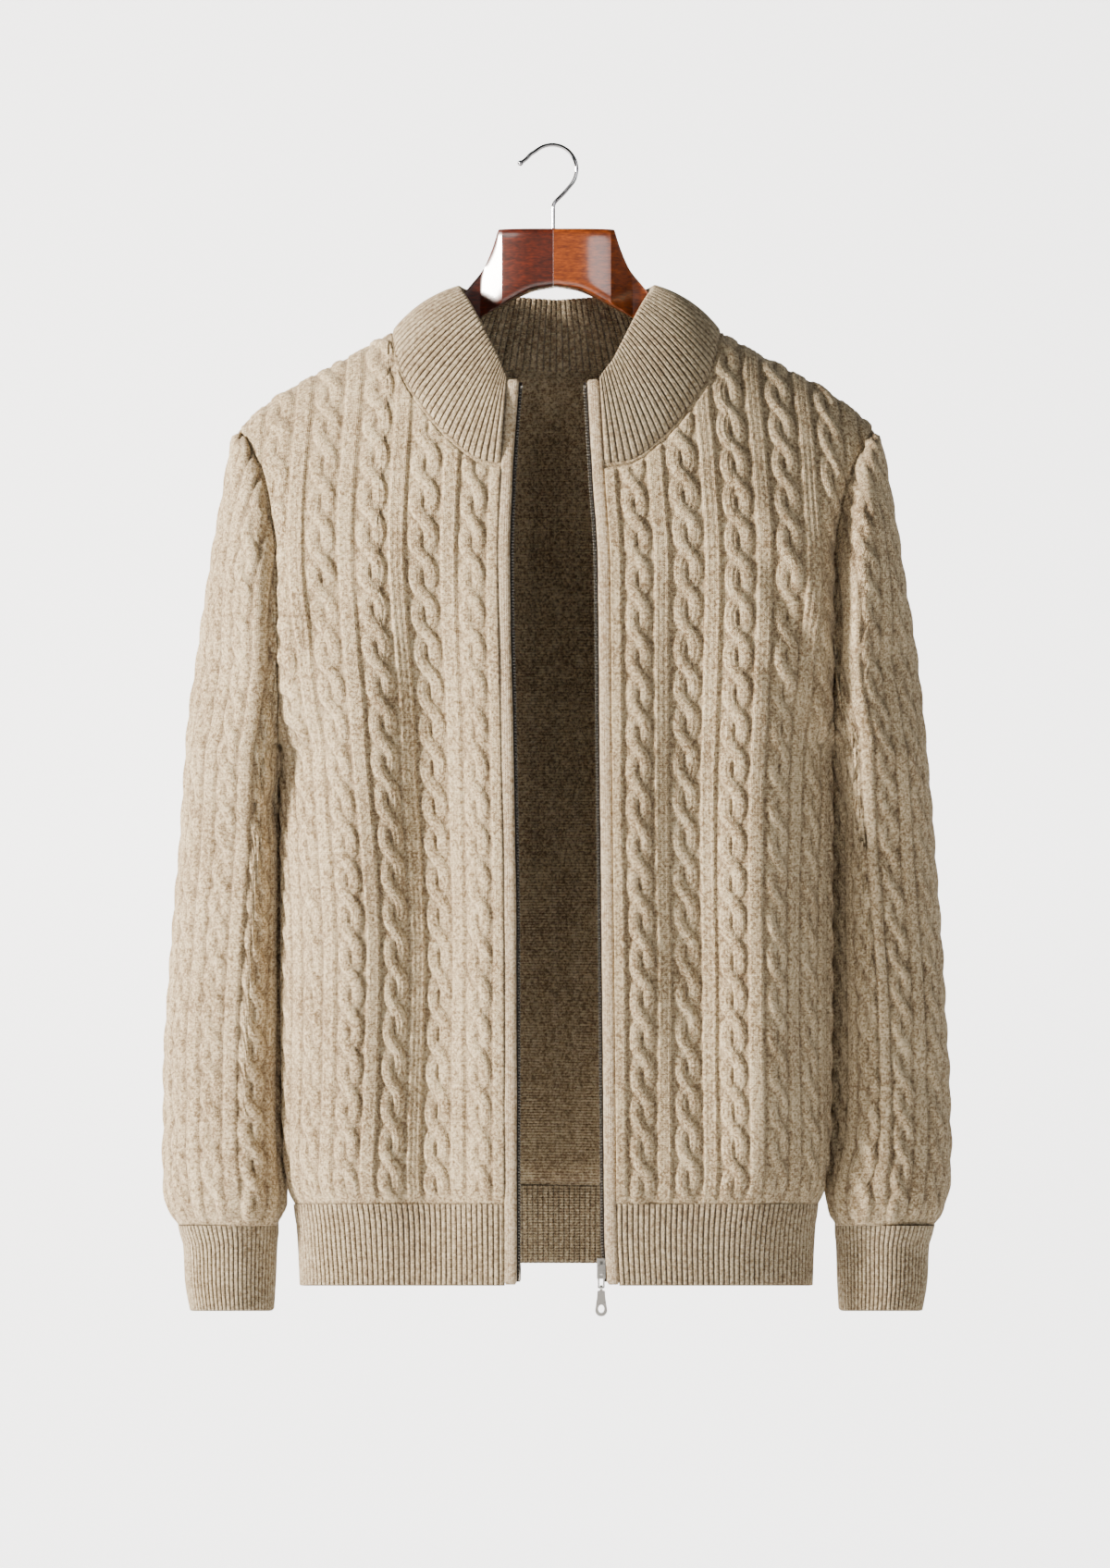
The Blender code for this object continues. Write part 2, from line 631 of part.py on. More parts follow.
def cable_column(outline, middle, lean, height, crests, chains):
    """Adds one cable: slanted crests between slanted valleys, and its two grooves."""
    def flat(across, up):
        return (middle + across * lean, up)

    grooves = {-1: [], 1: []}
    kept = set()
    for n in range(int(height / CROSSING) + 1):
        centre = (n + 0.5) * CROSSING
        corners = [flat(way * CABLE_HALF, centre - way * GROOVE_SLANT + end * CROSSING / 2)
                   for way in (-1, 1) for end in (-1, 1)]
        if all(inside(outline, s, v, CLEAR) for s, v in corners):
            crests.append((flat(-CREST_HALF, centre + CREST_SLANT), flat(CREST_HALF, centre - CREST_SLANT)))
            kept.update((n, n + 1))
    for n in sorted(kept):
        for way in (-1, 1):
            grooves[way].append((n, flat(way * CABLE_HALF, n * CROSSING - way * GROOVE_SLANT)))
    for way in (-1, 1):
        for first, second in zip(grooves[way], grooves[way][1:]):
            if second[0] - first[0] == 1:
                chains.append(((first[1], 0.0), (second[1], 0.0)))
    for left, right in zip(grooves[-1], grooves[1]):
        chains.append(((left[1], 0.0), (right[1], 0.0)))


def rib_lines(outline, middle, heights, chains):
    """Adds the two edges of the flat rib between two cables."""
    for way in (-1, 1):
        s = middle + way * RIB_HALF
        line = [(s, v) for v in heights if inside(outline, s, v, CLEAR)]
        for first, second in zip(line, line[1:]):
            if second[1] - first[1] < 2.5 * CROSSING:
                chains.append(((first, RIB_RISE), (second, RIB_RISE)))


def flat_faces(border, chains, loose):
    """Constrained triangles of a flat outline with its creases; gives points, heights, faces."""
    flats = [Vector(point) for point in border]
    heights = [0.0] * len(border)
    known = {}
    edges = []

    def number(point, height):
        key = (round(point[0], 6), round(point[1], 6))
        if key not in known:
            known[key] = len(flats)
            flats.append(Vector(key))
            heights.append(height)
        return known[key]

    for (first, first_height), (second, second_height) in chains:
        edges.append((number(first, first_height), number(second, second_height)))
    for point, height in loose:
        number(point, height)
    found = delaunay_2d_cdt(flats, edges, [list(range(len(border)))], 1, 1e-7, True)
    if len(found[0]) != len(flats):
        raise ValueError("the panel's creases cross")
    faces = [tuple(face) for face, sources in zip(found[2], found[5]) if sources]
    return flats, heights, faces


def knit_panel(name, border, chains, ribs, loose, place, wall=WALL):
    """A panel from its flat drawing: relief outside, a plain wall inside, and its edges.

    border: rows of (flat point, seam point, outward direction). place gives a surface
    point and its outward direction for a flat point.
    """
    outline = [row[0] for row in border]
    outer = flat_faces(outline, chains + ribs, [])
    inner = flat_faces(outline, [], loose)
    points = []
    for i, flat in enumerate(outer[0]):
        base, outward = border[i][1:] if i < len(border) else place(flat[0], flat[1])
        points.append(base + outward * outer[1][i])
    first_inner = len(points)
    for i, flat in enumerate(inner[0]):
        base, outward = border[i][1:] if i < len(border) else place(flat[0], flat[1])
        points.append(base - outward * wall)
    faces = list(outer[2])
    faces += [tuple(first_inner + i for i in reversed(face)) for face in inner[2]]
    for i in range(len(border)):
        j = (i + 1) % len(border)
        # Both sides of a seam split their edges the same way, so that they stay parallel.
        if points[i][2] >= points[j][2]:
            faces += [(i, j, first_inner + j), (i, first_inner + j, first_inner + i)]
        else:
            faces += [(i, j, first_inner + i), (j, first_inner + j, first_inner + i)]
    return close_mesh(name, points, faces, "knit")


def placer(place_point, keep_side=None):
    """Gives a function for a flat point's surface point and outward direction."""
    reach = 0.0010

    def place(s, v):
        point = place_point(s, v)
        across = place_point(s + reach, v) - place_point(s - reach, v)
        up = place_point(s, v + reach) - place_point(s, v - reach)
        outward = unit(np.cross(across, up))
        return point, outward * keep_side(point, outward)
    return place


# ---- the panels' borders ----

def seam_plane(point, outward, facing):
    """Keeps a border point of a side or shoulder seam just on its own side of the seam."""
    point = np.array(point)
    point[1] = facing * GAP / 2
    outward = np.array(outward)
    outward[1] = 0
    return point, unit(outward)


def body_flat(panel, x, z):
    s = body_s(panel, abs(x), z)
    z_line, v_line = body_line(panel, s)
    return s, float(np.interp(z, z_line, v_line))


def half_border(panel, seams):
    """Border of one half of the body from the bottom middle round the side to the top middle."""
    side = panel["side"]
    facing = panel["facing"]
    mirror = np.array([side, 1, 1])
    rows = []
    x_run, run = section_run(HEM_SEAM, facing, side)
    start = float(np.interp(panel_start(panel, HEM_SEAM), x_run, run))
    bottom = np.linspace(0, run[-1] - start, 17)
    for i, s in enumerate(bottom[:-1]):
        x = side * float(np.interp(start + s, run, x_run))
        z = HEM_SEAM + GAP / 2
        point = body_point(x, z, facing)
        outward = body_normal(x, z, facing)
        outward[2] = 0
        if i == 0:
            outward[0] = 0
        rows.append(((s, 0.0), point, unit(outward)))
    for z in np.linspace(HEM_SEAM + GAP / 2, UNDERARM - 0.004, 13):
        width = float(along(BODY_ROWS, "z", "width", z))
        s, v = body_flat(panel, width, z)
        if z < HEM_SEAM + GAP:
            v = 0.0
        point, outward = seam_plane((side * width, 0, z), (side, 0, 0), facing)
        rows.append(((s, v), point, outward))
    for point, outward, across in reversed(seams["armhole"][facing]):
        s, v = body_flat(panel, point[0], point[2])
        place = (point - across * GAP / 2) * mirror
        outward = outward * mirror
        if abs(point[1]) < 0.001:
            place, outward = seam_plane(place, outward, facing)
        rows.append(((s, v), place, outward))
    for x in (0.2180, 0.2040, 0.1850, 0.1650, 0.1450, 0.1300):
        z = float(along(SHOULDER_ROWS, "x", "z", x))
        s, v = body_flat(panel, x, z)
        point, outward = seam_plane((side * x, 0, z), (0.25 * side, 0, 1), facing)
        rows.append(((s, v), point, outward))
    neck, _, front_count = seams["neck"][side]
    picked = neck[:front_count][::-1] if facing < 0 else neck[front_count - 1:]
    for point, outward, across in picked:
        s, v = body_flat(panel, point[0], point[2])
        place = (point - across * GAP / 2) * mirror
        outward = outward * mirror
        if abs(point[1]) < 0.001:
            place, outward = seam_plane(place, outward, facing)
        rows.append([(s, v), place, outward])
    return rows


def front_border(panel, seams):
    """A front's whole border, closed down its band seam."""
    side = panel["side"]
    rows = half_border(panel, seams)
    corner = rows[-1]
    z_corner = corner[1][2]
    corner[0] = (0.0, corner[0][1])
    outward = corner[2] * np.array([0, 1, 1])
    corner[2] = unit(outward)
    for z in np.linspace(z_corner, HEM_SEAM + GAP / 2, 13)[1:-1]:
        x = side * panel_start(panel, z)
        outward = body_normal(x, z, -1)
        outward[0] = 0
        v = body_flat(panel, abs(x), z)[1]
        rows.append(((0.0, v), body_point(x, z, -1), unit(outward)))
    return rows


def back_border(panel, seams):
    """The back's whole border: its right half, then the same half mirrored."""
    right = half_border(dict(panel, side=1), seams)
    left = half_border(dict(panel, side=-1), seams)
    mirrored = [((-row[0][0], row[0][1]), row[1], row[2]) for row in left[1:-1]]
    return right + mirrored[::-1]


def grid_points(outline, across, up, clear):
    """Sparse flat points inside an outline for a plain wall."""
    lows = outline.min(axis=0)
    highs = outline.max(axis=0)
    found = []
    for s in np.arange(lows[0] + across / 2, highs[0], across):
        column = outline_top(outline, s)
        levels = list(np.arange(up, column - up * 0.8, up))
        levels += [column - drop for drop in (0.005, 0.012, 0.022, 0.040)]
        found += [((s, v), 0.0) for v in levels if inside(outline, s, v, clear)]
    return found


def outline_top(outline, s):
    """Highest place of an outline at s."""
    a = outline
    b = np.roll(outline, -1, axis=0)
    span = (a[:, 0] - s) * (b[:, 0] - s) <= 0
    width = np.where(b[:, 0] == a[:, 0], 1.0, b[:, 0] - a[:, 0])
    tops = a[:, 1] + (b[:, 1] - a[:, 1]) * np.clip((s - a[:, 0]) / width, 0, 1)
    return float(tops[span].max()) if span.any() else 0.0


def rib_heights(top):
    """Heights of a flat rib's points: sparse below, closer where the cloth rounds the shoulder."""
    below = np.arange(CROSSING * 0.3, top - 0.09, 2 * CROSSING)
    near = top - np.array([0.080, 0.050, 0.028, 0.012, 0.004])
    return [v for v in below if v < near[0] - 0.012] + [v for v in near if v > 0]


def relief(outline, cables, pitch, lean):
    """Cables and flat ribs of a panel, drawn flat."""
    crests = []
    chains = []
    ribs = []
    for middle in cables:
        cable_column(outline, middle, lean, outline_top(outline, middle), crests, chains)
    for middle in sorted({round(m + way * pitch / 2, 5) for m in cables for way in (-1, 1)}):
        rib_lines(outline, middle, rib_heights(outline_top(outline, middle)), ribs)
    for first, second in crests:
        chains.append(((first, CABLE_RISE), (second, CABLE_RISE)))
    return chains, ribs


def make_body(seams):
    left = {"side": -1, "facing": -1, "band": "left", "lines": {}}
    right = {"side": 1, "facing": -1, "band": "right", "lines": {}}
    back = {"side": 1, "facing": 1, "band": None, "lines": {}}
    cables = [FIRST_CABLE + n * CABLE_PITCH for n in range(FRONT_CABLES + 1)]
    for name, panel in (("front_left", left), ("front_right", right)):
        border = front_border(panel, seams)
        outline = np.array([row[0] for row in border])
        chains, ribs = relief(outline, cables, CABLE_PITCH, panel["side"])
        place = placer(lambda s, v, p=panel: body_place(p, max(s, 0.0), v), front_way)
        knit_panel(name, border, chains, ribs, grid_points(outline, 0.032, 0.075, 0.004), place)
    border = back_border(back, seams)
    outline = np.array([row[0] for row in border])
    cables = [(n - BACK_CABLES // 2) * CABLE_PITCH for n in range(BACK_CABLES)]
    chains, ribs = relief(outline, cables, CABLE_PITCH, -1)
    place = placer(lambda s, v: body_place(back, s, v), back_way)
    knit_panel("back", border, chains, ribs, grid_points(outline, 0.032, 0.075, 0.004), place)


def front_way(point, outward):
    return 1 if outward[1] < 0 else -1


def back_way(point, outward):
    return 1 if outward[1] > 0 else -1


# ---- sleeves ----

def sleeve_border(panel, seams):
    """Border of a sleeve: up its front seam and armhole, and down the back's."""
    side = panel["side"]
    mirror = np.array([side, 1, 1])
    rows = []
    z_low = CUFF_SEAM + GAP / 2
    half = sleeve_half(z_low) - GAP / 2
    for s in np.linspace(-half, half, 25)[1:-1]:
        point = sleeve_at(side * s, z_low) * mirror
        outward = sleeve_normal(side * s, z_low) * mirror
        outward[2] = 0
        rows.append(((s, 0.0), point, unit(outward)))
    for way in (1, -1):
        column = []
        for z in np.linspace(z_low, UNDERARM - 0.005, 12):
            s = way * (sleeve_half(z) - GAP / 2)
            line = sleeve_line(panel, s)
            v = 0.0 if z == z_low else float(np.interp(z, line[0], line[1]))
            point = sleeve_at(side * s, z) * mirror
            column.append(((s, v), point, np.array([-side, 0.0, 0.0])))
        facing = way * side
        for point, outward, across in reversed(seams["armhole"][facing]):
            s = way * sleeve_half(point[2])
            line = sleeve_line(panel, s)
            v = float(np.interp(point[2], line[0], line[1]))
            place = (point + across * GAP / 2) * mirror
            outward = outward * mirror
            if point[2] == UNDERARM:
                place[1] = facing * GAP / 2
                outward = unit(np.array([outward[0], 0, outward[2]]))
            column.append(((s, v), place, outward))
        if way < 0:
            column = column[:-1][::-1]
        rows += column
    return rows


def make_sleeves(seams):
    levels = np.linspace(UNDERARM, SHOULDER_LEVEL, 120)
    halves = np.array([sleeve_half(z) for z in levels])
    halves[-1] = 0.0
    caps = (levels[::-1], halves[::-1])
    cables = [(n - SLEEVE_CABLES // 2) * SLEEVE_PITCH for n in range(SLEEVE_CABLES)]
    for name, side in (("sleeve_left", -1), ("sleeve_right", 1)):
        panel = {"side": side, "lines": {}, "caps": caps}
        border = sleeve_border(panel, seams)
        outline = np.array([row[0] for row in border])
        chains, ribs = relief(outline, cables, SLEEVE_PITCH, 1)

        def way(point, outward, middle_side=side):
            centre = 0.5 * (along(SLEEVE_ROWS, "z", "outer", point[2])
                            + along(SLEEVE_ROWS, "z", "inner", point[2]))
            back = float(along(SLEEVE_ROWS, "z", "back", point[2]))
            middle = np.array([middle_side * float(centre), back, point[2]])
            return 1 if np.dot(outward, point - middle) > 0 else -1

        place = placer(lambda s, v, p=panel: sleeve_place(p, s, v), way)
        knit_panel(name, border, chains, ribs, grid_points(outline, 0.036, 0.070, 0.004), place)


# ---- ribbed pieces ----

def ribbed_wall(name, outer_rows, inner_rows, closed):
    """A wall with vertical ribs outside: rows of points from bottom to top on each face."""
    points = []

    def number(rows):
        numbered = []
        for row in rows:
            numbered.append(list(range(len(points), len(points) + len(row))))
            points.extend(row)
        return numbered

    outer = number(outer_rows)
    inner = number(inner_rows)
    if closed:
        outer = [row + row[:1] for row in outer]
        inner = [row + row[:1] for row in inner]
    faces = []
    for rows in (outer, inner):
        for low, high in zip(rows, rows[1:]):
            for i in range(len(low) - 1):
                faces.append((low[i], low[i + 1], high[i + 1], high[i]))
    faces += strip(outer[0], inner[0])
    faces += strip(outer[-1], inner[-1])
    if not closed:
        for end in (0, -1):
            ring = [row[end] for row in outer] + [row[end] for row in reversed(inner)]
            faces.append(tuple(ring))
    return close_mesh(name, points, faces, "rib")


def rib_profile(count, closed):
    """Shares of the way across and rises for a row of ribs."""
    total = 2 * count if closed else 2 * count + 1
    shares = np.arange(total) / (2 * count)
    rises = np.where(np.arange(total) % 2 == 1, FINE_RIB_RISE, 0.0)
    return shares, rises


def hem_section(panel, z, across, offset):
    """Points of the hem's section at shares of its length, moved out by offsets."""
    side = panel["side"]
    facing = panel["facing"]
    rows = []
    if panel["band"] is None:
        x_l, run_l = section_run(z, facing, -1)
        x_r, run_r = section_run(z, facing, 1)
        x = np.concatenate([-x_l[::-1], x_r[1:]])
        run = np.concatenate([run_l[-1] - run_l[::-1], run_l[-1] + run_r[1:]])
        start = 0.0
    else:
        x, run = section_run(z, facing, side)
        x = side * x
        start = float(np.interp(panel_start(panel, z), side * x, run))
    spots = start + across * (run[-1] - start)
    depth = facing * body_depth(x, z, facing)
    for spot, rise in zip(spots, offset):
        point = np.array([np.interp(spot, run, x), np.interp(spot, run, depth), z])
        ahead = min(spot + 0.0015, run[-1])
        behind = max(spot - 0.0015, start)
        way = np.array([np.interp(ahead, run, x) - np.interp(behind, run, x),
                        np.interp(ahead, run, depth) - np.interp(behind, run, depth), 0])
        outward = unit(np.array([way[1], -way[0], 0]))
        if outward[1] * facing < 0:
            outward = -outward
        if spot == spots[0] and panel["band"]:
            outward = np.array([0, float(facing), 0])
        at_seam = abs(point[1]) < 0.0012
        if at_seam:
            outward = np.array([math.copysign(1, point[0]), 0, 0])
        point = point + outward * rise
        if at_seam:
            point[1] = facing * GAP / 2
        rows.append(point)
    return rows


def make_hem():
    panels = (
        ("hem_rib_front_left", {"side": -1, "facing": -1, "band": "left"}),
        ("hem_rib_front_right", {"side": 1, "facing": -1, "band": "right"}),
        ("hem_rib_back", {"side": 1, "facing": 1, "band": None}),
    )
    for name, panel in panels:
        length = FRONT_HEM_LENGTH if panel["band"] else BACK_HEM_LENGTH
        shares, rises = rib_profile(round(length / RIB_PITCH), False)
        plain = np.linspace(0, 1, 13 if panel["band"] else 25)
        outer = []
        inner = []
        for z in (HEM_BOTTOM, HEM_SEAM - GAP / 2):
            outer.append(hem_section(panel, z, shares, rises))
            inner.append(hem_section(panel, z, plain, np.full(len(plain), -WALL)))
        ribbed_wall(name, outer, inner, False)


def cuff_ring(side, z, shares, offset):
    x, y = sleeve_section(CUFF_ROWS, z, False)
    back = float(along(CUFF_ROWS, "z", "back", z))
    x = np.concatenate([x, x[-2:0:-1]])
    y = np.concatenate([y, -y[-2:0:-1]])
    loop = np.column_stack([np.append(x, x[0]), np.append(y, y[0])])
    run = running_length(loop)
    ring = []
    for share, rise in zip(shares, offset):
        spot = share * run[-1]
        point = np.array([np.interp(spot, run, loop[:, 0]), np.interp(spot, run, loop[:, 1])])
        ahead = (spot + 0.001) % run[-1]
        behind = (spot - 0.001) % run[-1]
        way = np.array([np.interp(ahead, run, loop[:, 0]) - np.interp(behind, run, loop[:, 0]),
                        np.interp(ahead, run, loop[:, 1]) - np.interp(behind, run, loop[:, 1])])
        outward = unit(np.array([way[1], -way[0]]))
        point = point + outward * rise
        ring.append(np.array([side * point[0], point[1] + back, z]))
    return ring


def make_cuffs():
    shares, rises = rib_profile(46, True)
    plain = np.arange(22) / 22
    for name, side in (("cuff_left", -1), ("cuff_right", 1)):
        levels = (CUFF_BOTTOM, CUFF_MIDDLE, CUFF_SEAM - GAP / 2)
        outer = [cuff_ring(side, z, shares, rises) for z in levels]
        inner = [cuff_ring(side, z, plain, np.full(22, -WALL)) for z in levels]
        ribbed_wall(name, outer, inner, True)


# ---- collar ----

def collar_frames(seams):
    """The whole neckline from the left band round the back to the right band."""
    mirror = np.array([-1, 1, 1])
    rows, shares, _ = seams["neck"][-1]
    left = [(p * mirror, o * mirror, a * mirror, share) for (p, o, a), share in zip(rows, shares)]
    rows, shares, _ = seams["neck"][1]
    right = [(p, o, a, share) for (p, o, a), share in zip(rows, shares)]
    return left + right[-2::-1]


def make_collar(seams):
    frames = collar_frames(seams)
    base = np.array([f[0] + f[2] * GAP / 2 for f in frames])
    outward = np.array([f[1] for f in frames])
    share = np.array([f[3] for f in frames])
    way = np.concatenate([-np.ones(len(frames) // 2), np.ones(len(frames) - len(frames) // 2)])
    top = np.array([collar_top(s) for s in share]) * np.column_stack([way, np.ones((len(way), 2))])
    for end, band in ((0, "left"), (-1, "right")):
        reach = float(along(BAND_ROWS, "z", band, BAND_TOP)) + BAND_WIDTH + 2 * GAP
        top[end, 0] = math.copysign(reach, top[end, 0])
    run = running_length(base)
    ribs, rises = rib_profile(round(run[-1] / COLLAR_RIB_PITCH), False)
    plain = np.linspace(0, 1, 41)

    def row(height, spots, offset):
        at = spots * run[-1]
        low = np.column_stack([np.interp(at, run, base[:, i]) for i in range(3)])
        high = np.column_stack([np.interp(at, run, top[:, i]) for i in range(3)])
        out = np.column_stack([np.interp(at, run, outward[:, i]) for i in range(3)])
        rise = high - low
        along_row = np.gradient(low + rise * max(height, 0.05), axis=0)
        face = np.cross(along_row, rise)
        face /= np.linalg.norm(face, axis=1)[:, None]
        if face[len(low) // 2][1] < 0:
            face = -face
        mixed = out * (1 - height) + face * height
        mixed[[0, -1], 0] = 0
        mixed /= np.linalg.norm(mixed, axis=1)[:, None]
        bulge = COLLAR_BULGE * 4 * height * (1 - height)
        points = low + rise * height + mixed * (offset + bulge)[:, None]
        return list(points)

    outer = [row(h, ribs, rises) for h in (0.0, 0.45, 1.0)]
    inner = [row(h, plain, np.full(41, -WALL)) for h in (0.0, 0.45, 1.0)]
    ribbed_wall("collar", outer, inner, False)


# ---- bands and zip ----

def band_line(side, z):
    """Surface point at the middle of a front band."""
    which = "left" if side < 0 else "right"
    x = side * (float(along(BAND_ROWS, "z", which, z)) + BAND_WIDTH / 2)
    if z <= NECK_START:
        return body_point(x, z, -1)
    low = body_point(x, NECK_START, -1)[1]
    share = (z - NECK_START) / (BAND_TOP - NECK_START)
    return np.array([x, low + (collar_top(0.0)[1] - low) * share, z])


def sweep(levels, side, section):
    """Rings of a flat section, given as (across, out), carried down the front edge."""
    rings = []
    for z in levels:
        centre = band_line(side, z)
        rings.append([centre + np.array([side * a, -o, 0]) for a, o in section])
    return rings


def make_bands():
    half = BAND_WIDTH / 2
    outer = BAND_THICK - 0.0032
    inner = -0.0032
    section = [(-half, -0.0022), (-half, 0.0002), (-half + 0.0012, outer), (half - 0.001, outer),
               (half, 0.0006), (half, inner), (-half + 0.0012, inner)]
    tape = [(-half - TAPE_REACH, -TAPE_BEHIND), (-half - TAPE_REACH, -TAPE_BEHIND - TAPE_THICK),
            (TAPE_HIDDEN - half, -TAPE_BEHIND - TAPE_THICK), (TAPE_HIDDEN - half, -TAPE_BEHIND)]
    levels = list(np.linspace(HEM_BOTTOM, NECK_START, 13)) + [-0.208, -0.190, -0.178, BAND_TOP]
    for which, side in (("left", -1), ("right", 1)):
        points, faces = loft(sweep(levels, side, section))
        close_mesh(f"front_band_{which}", points, faces, "rib", True)
        levels_tape = [max(z, HEM_BOTTOM + 0.002) for z in levels[:-1]] + [BAND_TOP - 0.002]
        points, faces = loft(sweep(levels_tape, side, tape))
        close_mesh(f"zip_tape_{which}", points, faces, "tape")


# ---- metal pieces of the zip ----

def flat_mesh(name, outlines, thickness):
    """A plate from closed flat outlines, the first outside and the others its holes."""
    curve = bpy.data.curves.new(name, "CURVE")
    curve.dimensions = "2D"
    curve.fill_mode = "BOTH"
    curve.extrude = thickness / 2
    for outline in outlines:
        spline = curve.splines.new("POLY")
        spline.points.add(len(outline) - 1)
        for point, place in zip(spline.points, outline):
            point.co = (place[0], place[1], 0, 1)
        spline.use_cyclic_u = True
    holder = bpy.data.objects.new(name, curve)
    parts.objects.link(holder)
    seen = holder.evaluated_get(bpy.context.evaluated_depsgraph_get())
    mesh = bpy.data.meshes.new_from_object(seen)
    bpy.data.objects.remove(holder)
    form = bmesh.new()
    form.from_mesh(mesh)
    bmesh.ops.remove_doubles(form, verts=form.verts, dist=1e-6)
    bmesh.ops.recalc_face_normals(form, faces=form.faces)
    form.to_mesh(mesh)
    form.free()
    return mesh


def upright(mesh):
    """Turns a flat plate so that its second axis points up and its thickness lies along Y."""
    mesh.transform(Matrix.Rotation(math.pi / 2, 4, "X"))
    return mesh


def ring_outline(half_x, low, high, corner):
    """A rectangle with cut corners, given by its half width, ends and corner."""
    return [(half_x, low + corner), (half_x, high - corner), (half_x - corner, high),
            (corner - half_x, high), (-half_x, high - corner), (-half_x, low + corner),
            (corner - half_x, low), (half_x - corner, low)]


def combine(base, other, operation):
    """Joins or cuts one mesh object with another, and removes the other."""
    modifier = base.modifiers.new(operation.lower(), "BOOLEAN")
    modifier.operation = operation
    modifier.solver = "EXACT"
    modifier.object = other
    bpy.context.view_layer.update()
    seen = base.evaluated_get(bpy.context.evaluated_depsgraph_get())
    mesh = bpy.data.meshes.new_from_object(seen)
    base.modifiers.clear()
    base.data = mesh
    bpy.data.objects.remove(other)


def zip_plane():
    """Y of the tape's mid-plane at the slider."""
    middle = (SLIDER_TOP + SLIDER_BOTTOM) / 2
    return float(band_line(1, middle)[1]) + TAPE_BEHIND + TAPE_THICK / 2


def make_slider():
    face = CHANNEL + PLATE
    body = [(-SLIDER_HALF, -face), (SLIDER_HALF, -face), (SLIDER_HALF, -CHANNEL),
            (WEB - SLIDER_HALF, -CHANNEL), (WEB - SLIDER_HALF, CHANNEL), (SLIDER_HALF, CHANNEL),
            (SLIDER_HALF, face), (-SLIDER_HALF, face)]
    height = SLIDER_TOP - SLIDER_BOTTOM
    slider = add_object("zip_slider", flat_mesh("zip_slider", [body], height), "zip_metal")
    slider.location = (ZIP_X, zip_plane(), (SLIDER_TOP + SLIDER_BOTTOM) / 2)
    outer = face + BAIL_WINDOW + BAIL_BAR
    inner = face + BAIL_WINDOW
    root = face - PLATE / 2
    leg = 0.0013
    bail = [(root, BAIL_BOTTOM), (outer - 0.0006, BAIL_BOTTOM), (outer, BAIL_BOTTOM + 0.0008),
            (outer, BAIL_TOP - 0.0020), (outer - 0.0012, BAIL_TOP), (root, BAIL_TOP),
            (root, BAIL_TOP - leg), (inner - 0.0004, BAIL_TOP - leg - 0.0006),
            (inner, BAIL_TOP - leg - 0.0014), (inner, BAIL_BOTTOM + leg), (root, BAIL_BOTTOM + leg)]
    mesh = upright(flat_mesh("bail", [bail], 2 * BAIL_HALF))
    mesh.transform(Matrix.Rotation(-math.pi / 2, 4, "Z"))
    arch = add_object("bail", mesh, "zip_metal")
    arch.location = (ZIP_X, zip_plane(), 0)
    combine(slider, arch, "UNION")


def make_link():
    low = TAB_PIVOT - LINK_PIVOT - LINK_BAR / 2
    high = LINK_BAR / 2
    outer = ring_outline(LINK_HALF, low, high, 0.0006)
    inner = ring_outline(LINK_HALF - LINK_BAR, low + LINK_BAR, high - LINK_BAR, 0.0001)
    mesh = upright(flat_mesh("pull_link", [outer, inner], LINK_BAR))
    link = add_object("pull_link", mesh, "zip_metal")
    link.location = pull_pivot(LINK_PIVOT)


def pull_pivot(z):
    return (ZIP_X, zip_plane() - CHANNEL - PLATE - BAIL_WINDOW / 2, z)


def oval(half_x, half_z, middle, count):
    return [(half_x * math.cos(2 * math.pi * i / count), middle + half_z * math.sin(2 * math.pi * i / count))
            for i in range(count)]


def make_tab():
    round_z = -TAB_LENGTH + 0.0042
    sweep_round = [(0.0042 * math.cos(a), round_z + 0.0042 * math.sin(a))
                   for a in np.linspace(math.radians(-195), math.radians(15), 15)]
    outline = [(0.0027, TAB_TOP - 0.0006), (0.0022, TAB_TOP), (-0.0022, TAB_TOP), (-0.0027, TAB_TOP - 0.0006),
               (-0.0028, TAB_TOP - 0.0040)] + sweep_round + [(0.0028, TAB_TOP - 0.0040)]
    hole = oval(0.0021, 0.0029, round_z + 0.0010, 16)
    tab = add_object("pull_tab", upright(flat_mesh("pull_tab", [outline, hole], TAB_THICK)), "zip_metal")
    neck_half = LINK_HALF - LINK_BAR - 0.0003
    neck = [(-neck_half, TAB_TOP - 0.0004), (neck_half, TAB_TOP - 0.0004),
            (neck_half, -BORE - 0.0003), (-neck_half, -BORE - 0.0003)]
    combine(tab, add_object("neck", upright(flat_mesh("neck", [neck], TAB_THICK * 0.8)), "zip_metal"), "UNION")
    for radius, length, operation in ((BARREL, 2 * neck_half, "UNION"), (BORE, 4 * neck_half, "DIFFERENCE")):
        bpy.ops.mesh.primitive_cylinder_add(vertices=14, radius=radius, depth=length,
                                            rotation=(0, math.pi / 2, 0))
        barrel = bpy.context.object
        combine(tab, barrel, operation)
    tab.location = pull_pivot(TAB_PIVOT)


# ---- hanger ----

def arm_section(row, x):
    """A rounded section of the arm across Y and Z."""
    middle = (row["top"] + row["bottom"]) / 2
    tall = (row["top"] - row["bottom"]) / 2
    ring = []
    for i in range(ARM_SIDES):
        angle = math.pi / 2 + 2 * math.pi * i / ARM_SIDES
        power = 2 / row["square"]
        y = row["half"] * math.copysign(abs(math.cos(angle)) ** power, math.cos(angle))
        z = tall * math.copysign(abs(math.sin(angle)) ** power, math.sin(angle))
        ring.append((x, y if abs(math.cos(angle)) > 1e-9 else 0.0, middle + z))
    return ring


